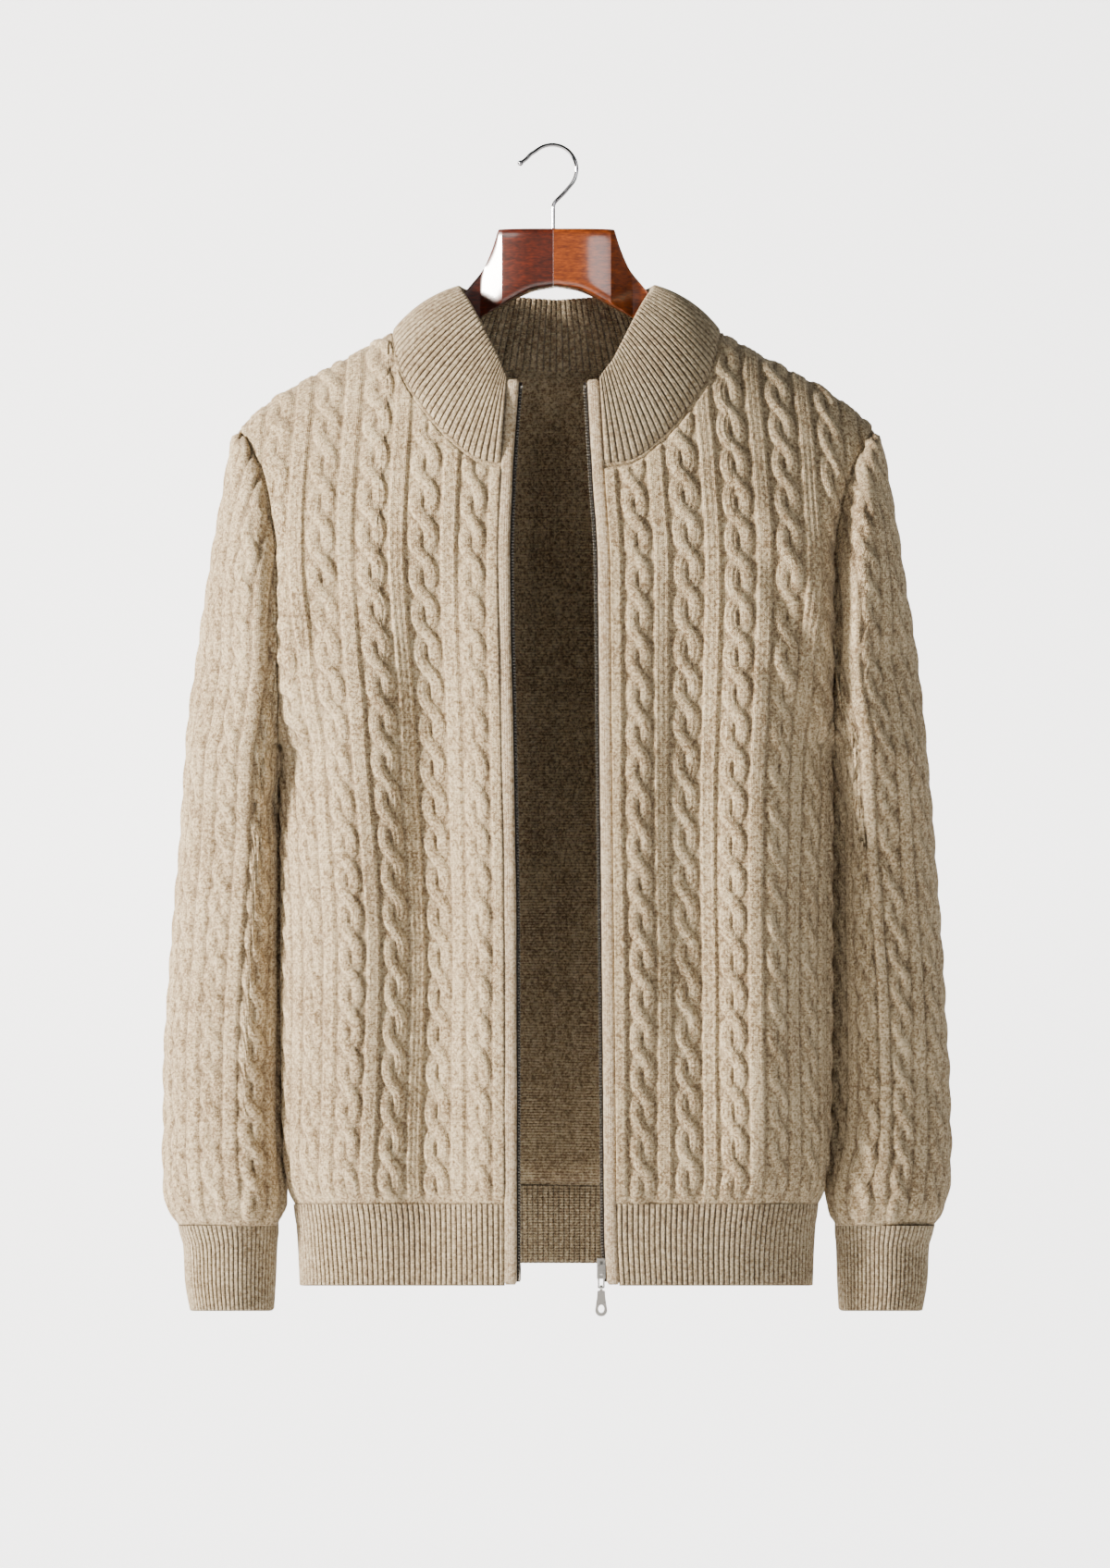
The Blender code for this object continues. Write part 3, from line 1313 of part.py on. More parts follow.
def make_hanger():
    for name, side in (("hanger_arm_left", -1), ("hanger_arm_right", 1)):
        rings = []
        for i, row in enumerate(ARM_ROWS):
            x = WOOD_JOIN + side * GAP / 2 if i == 0 else side * row["x"]
            rings.append(arm_section(row, x))
        points, faces = loft(rings)
        close_mesh(name, points, faces, "wood", True)


def make_hook():
    centre_z = WIRE / 2 - HOOK_RADIUS
    spots = [(-0.0262, centre_z + 0.0040, 1.0), (-0.0254, centre_z + 0.0046, 1.45),
             (-0.0244, centre_z + 0.0052, 1.45), (-0.0236, centre_z + 0.0058, 1.0),
             (-0.0215, centre_z + 0.0070, 1.0), (-0.0192, centre_z + 0.0098, 1.0)]
    for degrees in range(135, -36, -17):
        angle = math.radians(degrees)
        spots.append((HOOK_CENTRE + HOOK_RADIUS * math.cos(angle), centre_z + HOOK_RADIUS * math.sin(angle), 1.0))
    spots += [(0.0073, -0.0312, 1.0), (0.0010, -0.0376, 1.0), (-0.0012, -0.0397, 1.0),
              (WOOD_JOIN, -0.0420, 1.0), (WOOD_JOIN, WOOD_TOP + 0.0003, 1.0)]
    curve = bpy.data.curves.new("hanger_hook", "CURVE")
    curve.dimensions = "3D"
    curve.bevel_depth = WIRE / 2
    curve.bevel_resolution = 2
    curve.use_fill_caps = True
    spline = curve.splines.new("POLY")
    spline.points.add(len(spots) - 1)
    for point, (x, z, radius) in zip(spline.points, spots):
        point.co = (x, 0, z, 1)
        point.radius = radius
    hook = bpy.data.objects.new("hanger_hook", curve)
    parts.objects.link(hook)
    curve.materials.append(make_material("chrome.hanger_hook"))


# ---- start ----

def clear_scene():
    for item in list(bpy.data.objects):
        bpy.data.objects.remove(item, do_unlink=True)


clear_scene()
section_levels = {}
sleeve_levels = {}
parts = bpy.data.collections.new("cable_knit_cardigan")
bpy.context.scene.collection.children.link(parts)
seams = {"armhole": armhole_seam(), "neck": {-1: neck_seam("left"), 1: neck_seam("right")}}
make_body(seams)
make_sleeves(seams)
make_hem()
make_cuffs()
make_collar(seams)
make_bands()
make_slider()
make_link()
make_tab()
make_hanger()
make_hook()
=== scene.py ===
# Cable knit zip cardigan on a wooden hanger: the finish of every piece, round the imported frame.
# Metres, +Z up, front towards -Y. The origin is the inside top of the hook.
import math
import bpy
import bmesh
import numpy as np
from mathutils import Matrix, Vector


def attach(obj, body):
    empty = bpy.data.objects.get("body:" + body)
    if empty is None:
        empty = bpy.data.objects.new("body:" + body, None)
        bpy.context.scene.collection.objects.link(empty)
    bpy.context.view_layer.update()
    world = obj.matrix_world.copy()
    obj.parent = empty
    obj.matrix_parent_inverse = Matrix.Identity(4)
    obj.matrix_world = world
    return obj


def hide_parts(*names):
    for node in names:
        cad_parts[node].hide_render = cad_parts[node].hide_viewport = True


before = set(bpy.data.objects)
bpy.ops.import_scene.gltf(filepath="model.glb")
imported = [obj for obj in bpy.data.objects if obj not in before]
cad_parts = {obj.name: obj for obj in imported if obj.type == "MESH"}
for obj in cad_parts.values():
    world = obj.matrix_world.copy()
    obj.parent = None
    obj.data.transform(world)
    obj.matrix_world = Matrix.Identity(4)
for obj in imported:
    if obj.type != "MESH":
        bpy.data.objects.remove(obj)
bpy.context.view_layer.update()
coarse = 1.0
unshadedRise = 0.0013  # the height over its neighbours from which the wool shows its lightest colour, free of painted shade

viewSetup = {"distance": 2.70, "height": -0.4547, "side": -0.0010, "tall": 1.1187}


def makeCamera(setup):
    camera = bpy.data.cameras.new("camera")
    camera.sensor_fit = "VERTICAL"
    camera.angle_y = 2 * math.atan(setup["tall"] / 2 / setup["distance"])
    holder = bpy.data.objects.new("camera", camera)
    holder.location = (setup["side"], -setup["distance"], setup["height"])
    holder.rotation_euler = (math.radians(90), 0, 0)
    bpy.context.scene.collection.objects.link(holder)
    bpy.context.scene.camera = holder


def linear(hexCode):
    # sRGB hex to the linear colour that sockets take
    parts = [int(hexCode[i:i + 2], 16) / 255 for i in (1, 3, 5)]
    return [c / 12.92 if c <= 0.04045 else ((c + 0.055) / 1.055) ** 2.4 for c in parts] + [1.0]


def setSockets(node, values):
    # sets values on a node's own sockets
    for key, value in values.items():
        node.inputs[key].default_value = value


def addNode(tree, kind, links=None, sockets=None, **settings):
    # adds a node with its settings, socket values and incoming links
    node = tree.nodes.new(kind)
    for key, value in settings.items():
        setattr(node, key, value)
    setSockets(node, sockets or {})
    for key, source in (links or {}).items():
        tree.links.new(source, node.inputs[key])
    return node


stageSetup = {
    "floor": -1.45, "front": -5.0, "back": 3.3, "bend": 0.9, "bendSteps": 16, "rise": 3.5, "wide": 9.0,
    # the paper's painted light: its strength, its least share, and where it fades aside and behind
    "paper": "#EFEFEF", "paintedLightStrength": 3.0, "paintedLightLeast": 0.05, "paintedLightAside": (1.1, 1.8), "paintedLightBehind": (0.9, 1.9),
}
roomSetup = {"tint": "#F4F6F8", "light": 0.05, "seen": 0.8}


def newMaterial(name):
    # a material with its node tree and its shader
    material = bpy.data.materials.new(name)
    material.use_nodes = True
    return material, material.node_tree, material.node_tree.nodes["Principled BSDF"]


def addPiece(name, form, finish, angle=None):
    # makes an object of a finished shape, smooth but for edges sharper than the angle
    mesh = bpy.data.meshes.new(name)
    form.to_mesh(mesh)
    form.free()
    mesh.shade_smooth()
    if angle:
        mesh.set_sharp_from_angle(angle=math.radians(angle))
    mesh.materials.append(finish)
    piece = bpy.data.objects.new(name, mesh)
    bpy.context.scene.collection.objects.link(piece)
    return piece


def makeStage(setup):
    # seamless paper: a floor that curves up behind, swept across
    form = bmesh.new()
    corner = Vector((-setup["wide"] / 2, setup["back"] - setup["bend"], setup["floor"] + setup["bend"]))
    first = form.verts.new((-setup["wide"] / 2, setup["front"], setup["floor"]))
    second = form.verts.new((-setup["wide"] / 2, setup["back"] - setup["bend"], setup["floor"]))
    form.edges.new((first, second))
    turned = bmesh.ops.spin(form, geom=[second], cent=corner, axis=(1, 0, 0), angle=math.radians(90),
                            steps=setup["bendSteps"])
    last = [item for item in turned["geom_last"] if isinstance(item, bmesh.types.BMVert)]
    top = bmesh.ops.extrude_vert_indiv(form, verts=last)
    bmesh.ops.translate(form, verts=top["verts"], vec=(0, 0, setup["rise"]))
    wall = bmesh.ops.extrude_edge_only(form, edges=list(form.edges))
    moved = [item for item in wall["geom"] if isinstance(item, bmesh.types.BMVert)]
    bmesh.ops.translate(form, verts=moved, vec=(setup["wide"], 0, 0))
    bmesh.ops.recalc_face_normals(form, faces=form.faces)
    paper, tree, shader = newMaterial("matt background paper")
    colour = linear(setup["paper"])
    setSockets(shader, {"Base Color": colour, "Roughness": 0.95, "Specular IOR Level": 0.1, "Emission Color": colour})
    # painted light: the paper's own emission stands in for background lamps, bright behind the hanger and dim aside and
    # in front
    place = addNode(tree, "ShaderNodeTexCoord").outputs["Object"]
    split = addNode(tree, "ShaderNodeSeparateXYZ", {"Vector": place})
    aside = addNode(tree, "ShaderNodeMath", {0: split.outputs["X"]}, operation="ABSOLUTE")
    low, high = setup["paintedLightAside"]
    wide = addNode(tree, "ShaderNodeMapRange", {"Value": aside.outputs[0]},
                   {"From Min": low, "From Max": high, "To Min": 1.0, "To Max": setup["paintedLightLeast"]},
                   interpolation_type="SMOOTHSTEP")
    low, high = setup["paintedLightBehind"]
    deep = addNode(tree, "ShaderNodeMapRange", {"Value": split.outputs["Y"]},
                   {"From Min": low, "From Max": high, "To Min": setup["paintedLightLeast"], "To Max": 1.0},
                   interpolation_type="SMOOTHSTEP")
    both = addNode(tree, "ShaderNodeMath", {0: wide.outputs["Result"], 1: deep.outputs["Result"]}, operation="MULTIPLY")
    paintedLight = addNode(tree, "ShaderNodeMath", {0: both.outputs[0]}, {1: setup["paintedLightStrength"]}, operation="MULTIPLY")
    tree.links.new(paintedLight.outputs[0], shader.inputs["Emission Strength"])
    holder = addPiece("paper", form, paper)


lightRows = [
    {"name": "key", "at": (-3.1, -1.32, 0.55), "to": (0, 0, -0.45), "size": 0.7, "watts": 530, "tint": "#FFF6EC"},
    {"name": "front", "at": (-1.5, -3.0, 1.3), "to": (0, 0, -0.5), "size": 1.0, "watts": 11, "tint": "#FFFAF4"},
    {"name": "strip", "at": (1.05, -2.65, 0.3), "to": (0, 0, -0.3), "size": 1.0, "watts": 15, "tint": "#FFFFFF"},
    {"name": "edge", "at": (2.6, 0.2, -0.2), "to": (0, 0, -0.45), "size": 0.9, "watts": 9, "tint": "#FFFFFF"},
]


def makeLights(rows, setup):
    for row in rows:
        lamp = bpy.data.lights.new(row["name"], "AREA")
        lamp.shape = "DISK"
        lamp.size = row["size"]
        lamp.energy = row["watts"]
        lamp.color = linear(row["tint"])[:3]
        holder = bpy.data.objects.new(row["name"], lamp)
        holder.location = row["at"]
        aim = Vector(row["to"]) - Vector(row["at"])
        holder.rotation_euler = aim.to_track_quat("-Z", "Y").to_euler()
        bpy.context.scene.collection.objects.link(holder)
    world = bpy.data.worlds.new("studio")
    world.use_nodes = True
    tree = world.node_tree
    room = tree.nodes["Background"]
    room.inputs["Color"].default_value = linear(setup["tint"])
    # the far walls are seen pale, but send little light
    seen = addNode(tree, "ShaderNodeLightPath").outputs["Is Camera Ray"]
    level = addNode(tree, "ShaderNodeMapRange", {"Value": seen}, {"To Min": setup["light"], "To Max": setup["seen"]})
    tree.links.new(level.outputs["Result"], room.inputs["Strength"])
    bpy.context.scene.world = world


makeCamera(viewSetup)
makeStage(stageSetup)
makeLights(lightRows, roomSetup)
print("camera, paper and lights are up")


def asTable(columns, *rows):
    # a short table: the names of its columns, then a tuple for each row
    return [dict(zip(columns.split(), row)) for row in rows]


# sizes of the whole garment, in metres
body = {
    "squareness": 2.5, "shoulderFall": 0.190, "hemSeam": -0.7545, "hemBottom": -0.8120, "gather": -0.7350,
    "cuffSeam": -0.7700, "cuffBottom": -0.8300, "underarm": -0.4310, "straightAbove": -0.2920,
    "neckPoint": 0.1180, "shoulderTip": 0.2255, "shoulderLevel": -0.2035, "levelStep": 0.0025, "lengthStep": 0.0010,
    "neckStart": -0.2280, "bandTop": -0.1660, "bandWidth": 0.0085, "sectionReach": 0.30, "levels": (48, 330),
    "chest": -0.45, "topGuess": -0.19, "quiet": 0.03,
}
bodyRows = asTable(
    "z width depth",
    (-0.130, 0.2500, 0.0740),
    (-0.300, 0.2500, 0.0780),
    (-0.350, 0.2400, 0.0780),
    (-0.400, 0.2150, 0.0770),
    (-0.420, 0.2030, 0.0770),
    (-0.431, 0.1960, 0.0770),
    (-0.450, 0.1950, 0.0765),
    (-0.600, 0.1950, 0.0740),
    (-0.700, 0.1935, 0.0710),
    (-0.735, 0.1905, 0.0690),
    (-0.7545, 0.1865, 0.0665),
    (-0.770, 0.1835, 0.0655),
    (-0.812, 0.1812, 0.0650))
shoulderRows = asTable(
    "x z",
    (0.0000, -0.1000),
    (0.0600, -0.1090),
    (0.1180, -0.1345),
    (0.1520, -0.1531),
    (0.1900, -0.1735),
    (0.2180, -0.1940),
    (0.2255, -0.2035),
    (0.2500, -0.2500))
armholeRows = asTable(
    "z x",
    (-0.2035, 0.2255),
    (-0.2150, 0.2175),
    (-0.2270, 0.2105),
    (-0.2470, 0.2040),
    (-0.2700, 0.1998),
    (-0.2920, 0.1975),
    (-0.3500, 0.1970),
    (-0.4310, 0.1970))
frontNeckRows = asTable(
    "x z",
    (0.0300, -0.2280),
    (0.0500, -0.2255),
    (0.0740, -0.2086),
    (0.0960, -0.1830),
    (0.1105, -0.1590),
    (0.1180, -0.1345))
backNeckRows = asTable(
    "x z",
    (0.0000, -0.1500),
    (0.0600, -0.1475),
    (0.0950, -0.1420),
    (0.1180, -0.1345))
collarTopRows = asTable(
    "share x y z",
    (0.00, 0.0330, -0.0640, -0.1665),
    (0.20, 0.0470, -0.0500, -0.1400),
    (0.38, 0.0620, -0.0270, -0.1120),
    (0.53, 0.0700, -0.0030, -0.1005),
    (0.75, 0.0500, 0.0300, -0.0990),
    (1.00, 0.0000, 0.0420, -0.1003))
bandRows = asTable(
    "z left right",
    (-0.166, 0.0262, 0.0215),
    (-0.239, 0.0307, 0.0254),
    (-0.292, 0.0323, 0.0287),
    (-0.424, 0.0300, 0.0300),
    (-0.556, 0.0280, 0.0314),
    (-0.688, 0.0277, 0.0327),
    (-0.775, 0.0277, 0.0335),
    (-0.812, 0.0277, 0.0354))
sleeveRows = asTable(
    "z outer inner depth back",
    (-0.2035, 0.2262, 0.1970, 0.0100, 0.000),
    (-0.2100, 0.2295, 0.1970, 0.0230, 0.000),
    (-0.2220, 0.2320, 0.1970, 0.0320, 0.000),
    (-0.2350, 0.2343, 0.1970, 0.0380, 0.000),
    (-0.2785, 0.2420, 0.1970, 0.0510, 0.000),
    (-0.3180, 0.2480, 0.1970, 0.0540, 0.000),
    (-0.3577, 0.2535, 0.1970, 0.0530, 0.000),
    (-0.3970, 0.2585, 0.1970, 0.0520, 0.000),
    (-0.4310, 0.2620, 0.1970, 0.0515, 0.000),
    (-0.4500, 0.2638, 0.1972, 0.0510, 0.003),
    (-0.4765, 0.2665, 0.1968, 0.0505, 0.009),
    (-0.5160, 0.2700, 0.1962, 0.0500, 0.015),
    (-0.5950, 0.2760, 0.1960, 0.0500, 0.018),
    (-0.6745, 0.2803, 0.1955, 0.0490, 0.018),
    (-0.7140, 0.2805, 0.1945, 0.0490, 0.016),
    (-0.7405, 0.2795, 0.1945, 0.0465, 0.012),
    (-0.7560, 0.2760, 0.1960, 0.0430, 0.009),
    (-0.7700, 0.2700, 0.1990, 0.0360, 0.006))
cuffRows = asTable(
    "z outer inner depth back",
    (-0.7704, 0.2698, 0.1992, 0.0357, 0.006),
    (-0.7850, 0.2652, 0.2008, 0.0300, 0.006),
    (-0.8100, 0.2640, 0.2018, 0.0285, 0.006),
    (-0.8300, 0.2605, 0.2030, 0.0280, 0.006))
frontFolds = asTable(
    "x width rise top bottom",
    (-0.150, 0.032, 0.0120, -0.330, -0.800),
    (-0.086, 0.028, -0.0190, -0.270, -0.830),
    (-0.058, 0.018, 0.0030, -0.300, -0.800),
    (0.050, 0.020, 0.0015, -0.300, -0.760),
    (0.094, 0.024, -0.0065, -0.260, -0.760),
    (0.146, 0.027, 0.0125, -0.330, -0.790))
backFolds = asTable(
    "x width rise top bottom",
    (-0.120, 0.030, -0.0060, -0.320, -0.760),
    (-0.050, 0.026, 0.0035, -0.260, -0.700),
    (0.030, 0.028, -0.0060, -0.380, -0.780),
    (0.105, 0.026, 0.0040, -0.300, -0.740),
    (0.150, 0.020, -0.0040, -0.430, -0.760))


def readRows(rows, key, column, at):
    # reads a column of a table between its rows, on a smooth curve with no overshoot
    pairs = sorted((row[key], row[column]) for row in rows)
    keys = np.array([pair[0] for pair in pairs])
    values = np.array([pair[1] for pair in pairs])
    step = np.diff(keys)
    slope = np.diff(values) / step
    tangent = np.zeros(len(keys))
    tangent[0] = slope[0]
    tangent[-1] = slope[-1]
    product = slope[:-1] * slope[1:]
    total = np.where(product > 0, slope[:-1] + slope[1:], 1.0)
    tangent[1:-1] = np.where(product > 0, 2.0 * product / total, 0.0)
    at = np.clip(np.asarray(at, dtype=float), keys[0], keys[-1])
    i = np.clip(np.searchsorted(keys, at) - 1, 0, len(keys) - 2)
    t = (at - keys[i]) / step[i]
    rise = values[i + 1] - values[i]
    bend = t * (1 - t) * ((1 - t) * (tangent[i] * step[i] - rise) - t * (tangent[i + 1] * step[i] - rise))
    return values[i] + rise * t + bend


def lengthAlong(points):
    # running length at each point of a line
    steps = np.linalg.norm(np.diff(points, axis=0), axis=1)
    return np.concatenate([[0.0], np.cumsum(steps)])


def unitRows(vectors):
    return vectors / np.maximum(np.linalg.norm(vectors, axis=-1, keepdims=True), 1e-12)


def realHeight(points):
    # the tables give heights as seen from in front; this brings them to their real height
    near = 1 - np.abs(points[..., 1]) / viewSetup["distance"]
    points[..., 2] = viewSetup["height"] + (points[..., 2] - viewSetup["height"]) * near
    return points


def bodyDepth(x, z, facing):
    # how far the cloth stands from the middle plane: the body's round section, its shoulder fall and folds
    x = np.asarray(x, dtype=float)
    z = np.asarray(z, dtype=float)
    width = readRows(bodyRows, "z", "width", z)
    full = readRows(bodyRows, "z", "depth", z)
    power = body["squareness"]
    across = np.clip(1 - (np.abs(x) / width) ** power, 0, 1) ** (1 / power)
    fall = np.clip((readRows(shoulderRows, "x", "z", np.abs(x)) - z) / body["shoulderFall"], 0, 1)
    down = np.sqrt(1 - (1 - fall) ** 2)
    folds = np.zeros(np.broadcast(x, z).shape)
    for fold in frontFolds if facing < 0 else backFolds:
        share = np.clip((fold["top"] - z) / (fold["top"] - fold["bottom"]), 0, 1)
        folds = folds + (fold["rise"] * np.exp(-((x - fold["x"]) / fold["width"]) ** 2)
                         * np.sin(math.pi * share) ** 0.7)
    return (full + folds) * across * down


def sectionTable(facing, side):
    # the body's section by height: x and y by length from the middle, and its whole length
    lengths = np.arange(0, body["sectionReach"], body["lengthStep"])
    heights = -np.arange(*body["levels"]) * body["levelStep"]
    xs, ys, ends = [], [], []
    for z in heights:
        width = float(readRows(bodyRows, "z", "width", z))
        x = width * np.sin(np.linspace(0, math.pi / 2, 300)) ** (2 / body["squareness"])
        y = bodyDepth(side * x, z, facing)
        run = lengthAlong(np.column_stack([x, y]))
        xs.append(np.interp(lengths, run, x))
        ys.append(np.interp(lengths, run, y))
        ends.append(run[-1])
    return {"lengths": lengths, "heights": heights, "x": np.array(xs), "y": np.array(ys), "end": np.array(ends)}


def readTable(table, column, length, z):
    # a bilinear reading of a section table
    row = np.clip((table["heights"][0] - z) / body["levelStep"], 0, len(table["heights"]) - 1.001)
    place = np.clip(length / body["lengthStep"], 0, len(table["lengths"]) - 1.001)
    i = row.astype(int)
    j = place.astype(int)
    a = row - i
    b = place - j
    grid = table[column]
    return ((1 - a) * ((1 - b) * grid[i, j] + b * grid[i, j + 1])
            + a * ((1 - b) * grid[i + 1, j] + b * grid[i + 1, j + 1]))


def tableLength(table, x, z):
    # length from the middle at a distance x, for one height
    i = int(round((table["heights"][0] - z) / body["levelStep"]))
    return float(np.interp(x, table["x"][i], table["lengths"]))


def panelStart(panel, z):
    # the length along the cloth from the middle to where a panel begins, at heights z
    if panel["band"] is None:
        return np.zeros(np.shape(z))
    x = readRows(bandRows, "z", panel["band"], z) + body["bandWidth"]
    table = panel["table"]
    level = np.minimum(z, body["straightAbove"])
    return np.array([tableLength(table, a, b) for a, b in zip(np.ravel(x), np.ravel(level))]).reshape(np.shape(z))


def smoothRamp(value, low, high):
    t = np.clip((value - low) / (high - low), 0, 1)
    return t * t * (3 - 2 * t)


def wobble(across, up, seed, size):
    # a gentle uneven drift, from a few waves with seeded phases
    picker = np.random.default_rng(seed)
    total = 0
    for stretch in (1.0, 0.57, 0.31):
        a, b, c, d = picker.uniform(0, 2 * math.pi, 4)
        total = total + stretch * np.sin(across / (size * stretch) + a + 0.7 * np.sin(up / (size * stretch) + b))
        total = total + stretch * np.sin(up / (size * 0.8 * stretch) + c + 0.7 * np.sin(across / (size * stretch) + d))
    return total / 3.0


# soft creases of the hanging cloth, each a trough (rise below 0) or ridge between two places
frontCreases = asTable(
    "from to width rise",
    ((0.186, -0.385), (0.150, -0.300), 0.010, -0.0040),
    ((0.188, -0.440), (0.145, -0.372), 0.008, -0.0026),
    ((0.180, -0.330), (0.128, -0.232), 0.012, 0.0022),
    ((-0.186, -0.380), (-0.146, -0.290), 0.011, -0.0036),
    ((-0.187, -0.450), (-0.150, -0.395), 0.008, -0.0022),
    ((-0.130, -0.480), (-0.122, -0.705), 0.013, -0.0024),
    ((-0.082, -0.420), (-0.094, -0.640), 0.010, 0.0018),
    ((0.098, -0.520), (0.106, -0.735), 0.012, -0.0022),
    ((0.150, -0.560), (0.141, -0.745), 0.010, 0.0020),
    ((0.062, -0.640), (0.070, -0.765), 0.010, -0.0018),
    ((-0.058, -0.665), (-0.066, -0.770), 0.010, -0.0018))
backCreases = asTable(
    "from to width rise",
    ((0.186, -0.380), (0.140, -0.285), 0.012, -0.0042),
    ((-0.186, -0.372), (-0.148, -0.292), 0.010, -0.0036),
    ((-0.090, -0.185), (0.070, -0.200), 0.012, -0.0022),
    ((0.015, -0.420), (0.024, -0.690), 0.014, -0.0026),
    ((-0.085, -0.500), (-0.078, -0.742), 0.012, -0.0022),
    ((0.120, -0.470), (0.112, -0.700), 0.012, 0.0022),
    ((-0.150, -0.560), (-0.143, -0.750), 0.010, 0.0018))


def creaseRise(rows, across, z):
    # height that soft creases add, strongest in the middle of each
    total = np.zeros(across.shape)
    for row in rows:
        start = np.array(row["from"])
        way = np.array(row["to"]) - start
        share = ((across - start[0]) * way[0] + (z - start[1]) * way[1]) / (way @ way)
        held = np.clip(share, 0, 1)
        away = np.hypot(across - start[0] - held * way[0], z - start[1] - held * way[1])
        fade = 0.35 + 0.65 * np.sin(math.pi * held) ** 0.8
        total += row["rise"] * fade * np.exp(-(away / (row["width"] * (0.7 + 0.5 * fade))) ** 2)
    return total


# the cloth falls back in a shadowed gap along each armhole and under it, deeper on the right as seen;
# the ranges are heights below the hook, near and far are distances from the seam
tuck = {
    "width": 0.0084, "left": 0.007, "right": 0.028, "starts": (0.225, 0.285), "ends": (0.375, 0.430),
    "gapLeft": 0.001, "gapRight": 0.0085, "gapStarts": (0.370, 0.530), "gapEnds": (0.700, 0.755),
    "near": (0.003, 0.022), "far": (0.030, 0.072),
}


def armTuck(away, points):
    # how far the cloth falls back at a distance from the armhole seam
    z = -points[..., 2]
    held = smoothRamp(z, *tuck["starts"]) * (1 - smoothRamp(z, *tuck["ends"]))
    most = np.where(points[..., 0] < 0, tuck["left"], tuck["right"])
    return most * held * np.exp(-(away / tuck["width"]) ** 2)


def sleeveGap(away, points):
    # how far the front of a sleeve stands off the body below the armhole
    z = -points[..., 2]
    held = smoothRamp(z, *tuck["gapStarts"]) * (1 - smoothRamp(z, *tuck["gapEnds"]))
    most = np.where(points[..., 0] < 0, tuck["gapLeft"], tuck["gapRight"])
    return most * held * smoothRamp(away, *tuck["near"]) * (1 - smoothRamp(away, *tuck["far"]))


# cables with flat ribs between them, as heights over the cloth's base surface
cable = {
    "pitch": 0.0320, "sleevePitch": 0.0300, "crossing": 0.0272, "swing": 0.0049, "strand": 0.0044,
    "middle": 0.0020, "lift": 0.0009, "rib": 0.0017, "ribHalf": 0.0049, "ribEdge": 0.0010, "wale": 0.0019,
    "splay": 0.115, "splayFrom": 0.030, "hollow": 0.0042, "stitchRise": 0.00020, "ribStitch": 0.00016,
    "drift": 0.0011, "shift": 0.0045, "uneven": 0.0022, "plump": 0.10, "leanFrom": -0.64, "leanBy": -0.24,
    "edgeFade": 0.004, "hemFade": (-0.003, 0.014), "seamWidth": 0.0022, "hemSeam": 0.0003, "hemSeamWidth": 0.0016,
}


def strandHeight(across, up, way):
    # one of a cable's two strands; each passes over the other once in two crossings
    phase = math.pi * up / cable["crossing"]
    wave = np.sin(phase)
    swing = way * cable["swing"] * wave * (1.2 - 0.2 * wave ** 2)
    slope = cable["swing"] * (1.2 - 0.6 * wave ** 2) * np.cos(phase) * math.pi / cable["crossing"]
    away = (across - swing) / np.sqrt(1 + slope ** 2) / cable["strand"]
    dome = np.clip(1 - np.abs(away) ** 2.4, 0, 1) ** 0.55
    plied = cable["stitchRise"] * np.cos(away * 3.0 * math.pi)  # three columns of stitches run along a strand
    return (cable["middle"] - way * cable["lift"] * np.cos(phase)) * dome + plied * dome


def knitRelief(panel, across, up):
    # the height of cables and ribs at lengths across and up the cloth
    pitch = panel["pitch"]
    drift = across + cable["drift"] * wobble(across, up, panel["seed"], 0.06)
    number = np.round((drift - panel["firstCable"]) / pitch)
    local = (drift - panel["firstCable"] - number * pitch) * panel["lean"]
    picker = np.random.default_rng(panel["seed"] + 5)
    shifts = picker.uniform(-cable["shift"], cable["shift"], 64)[np.mod(number.astype(int), 64)]
    height = up + shifts + cable["uneven"] * wobble(number * 0.05, up, panel["seed"] + 9, 0.05)
    rope = np.maximum(strandHeight(local, height, 1), strandHeight(local, height, -1))
    beside = pitch / 2 - np.abs(local)
    flat = cable["rib"] * smoothRamp(cable["ribHalf"] + cable["ribEdge"] - beside, 0, 2 * cable["ribEdge"])
    flat = flat + cable["ribStitch"] * np.cos(beside / cable["wale"] * 2 * math.pi / 1.7) * (flat > 0.0002)
    plump = 1 + cable["plump"] * wobble(across, up, panel["seed"] + 3, 0.04)
    return np.maximum(rope, flat) * plump


def blurred(grid, reach):
    # a plain average over a few neighbours both ways
    for axis in (0, 1):
        padded = np.concatenate([np.repeat(np.take(grid, [0], axis), reach + 1, axis), grid,
                                 np.repeat(np.take(grid, [-1], axis), reach, axis)], axis)
        run = np.cumsum(padded, axis)
        size = grid.shape[axis]
        ends = np.take(run, range(2 * reach + 1, 2 * reach + 1 + size), axis)
        grid = (ends - np.take(run, range(size), axis)) / (2 * reach + 1)
    return grid


def paintedShadeRise(relief, spacing):
    # how far each place stands clear of its neighbours: places lower than their neighbours get painted shade in the
    # wool's colour
    reach = max(1, int(round(cable["hollow"] / (spacing * coarse))))
    clear = relief - blurred(relief, reach)
    return unshadedRise * np.clip(0.88 + clear / 0.0017, 0, 1.0)


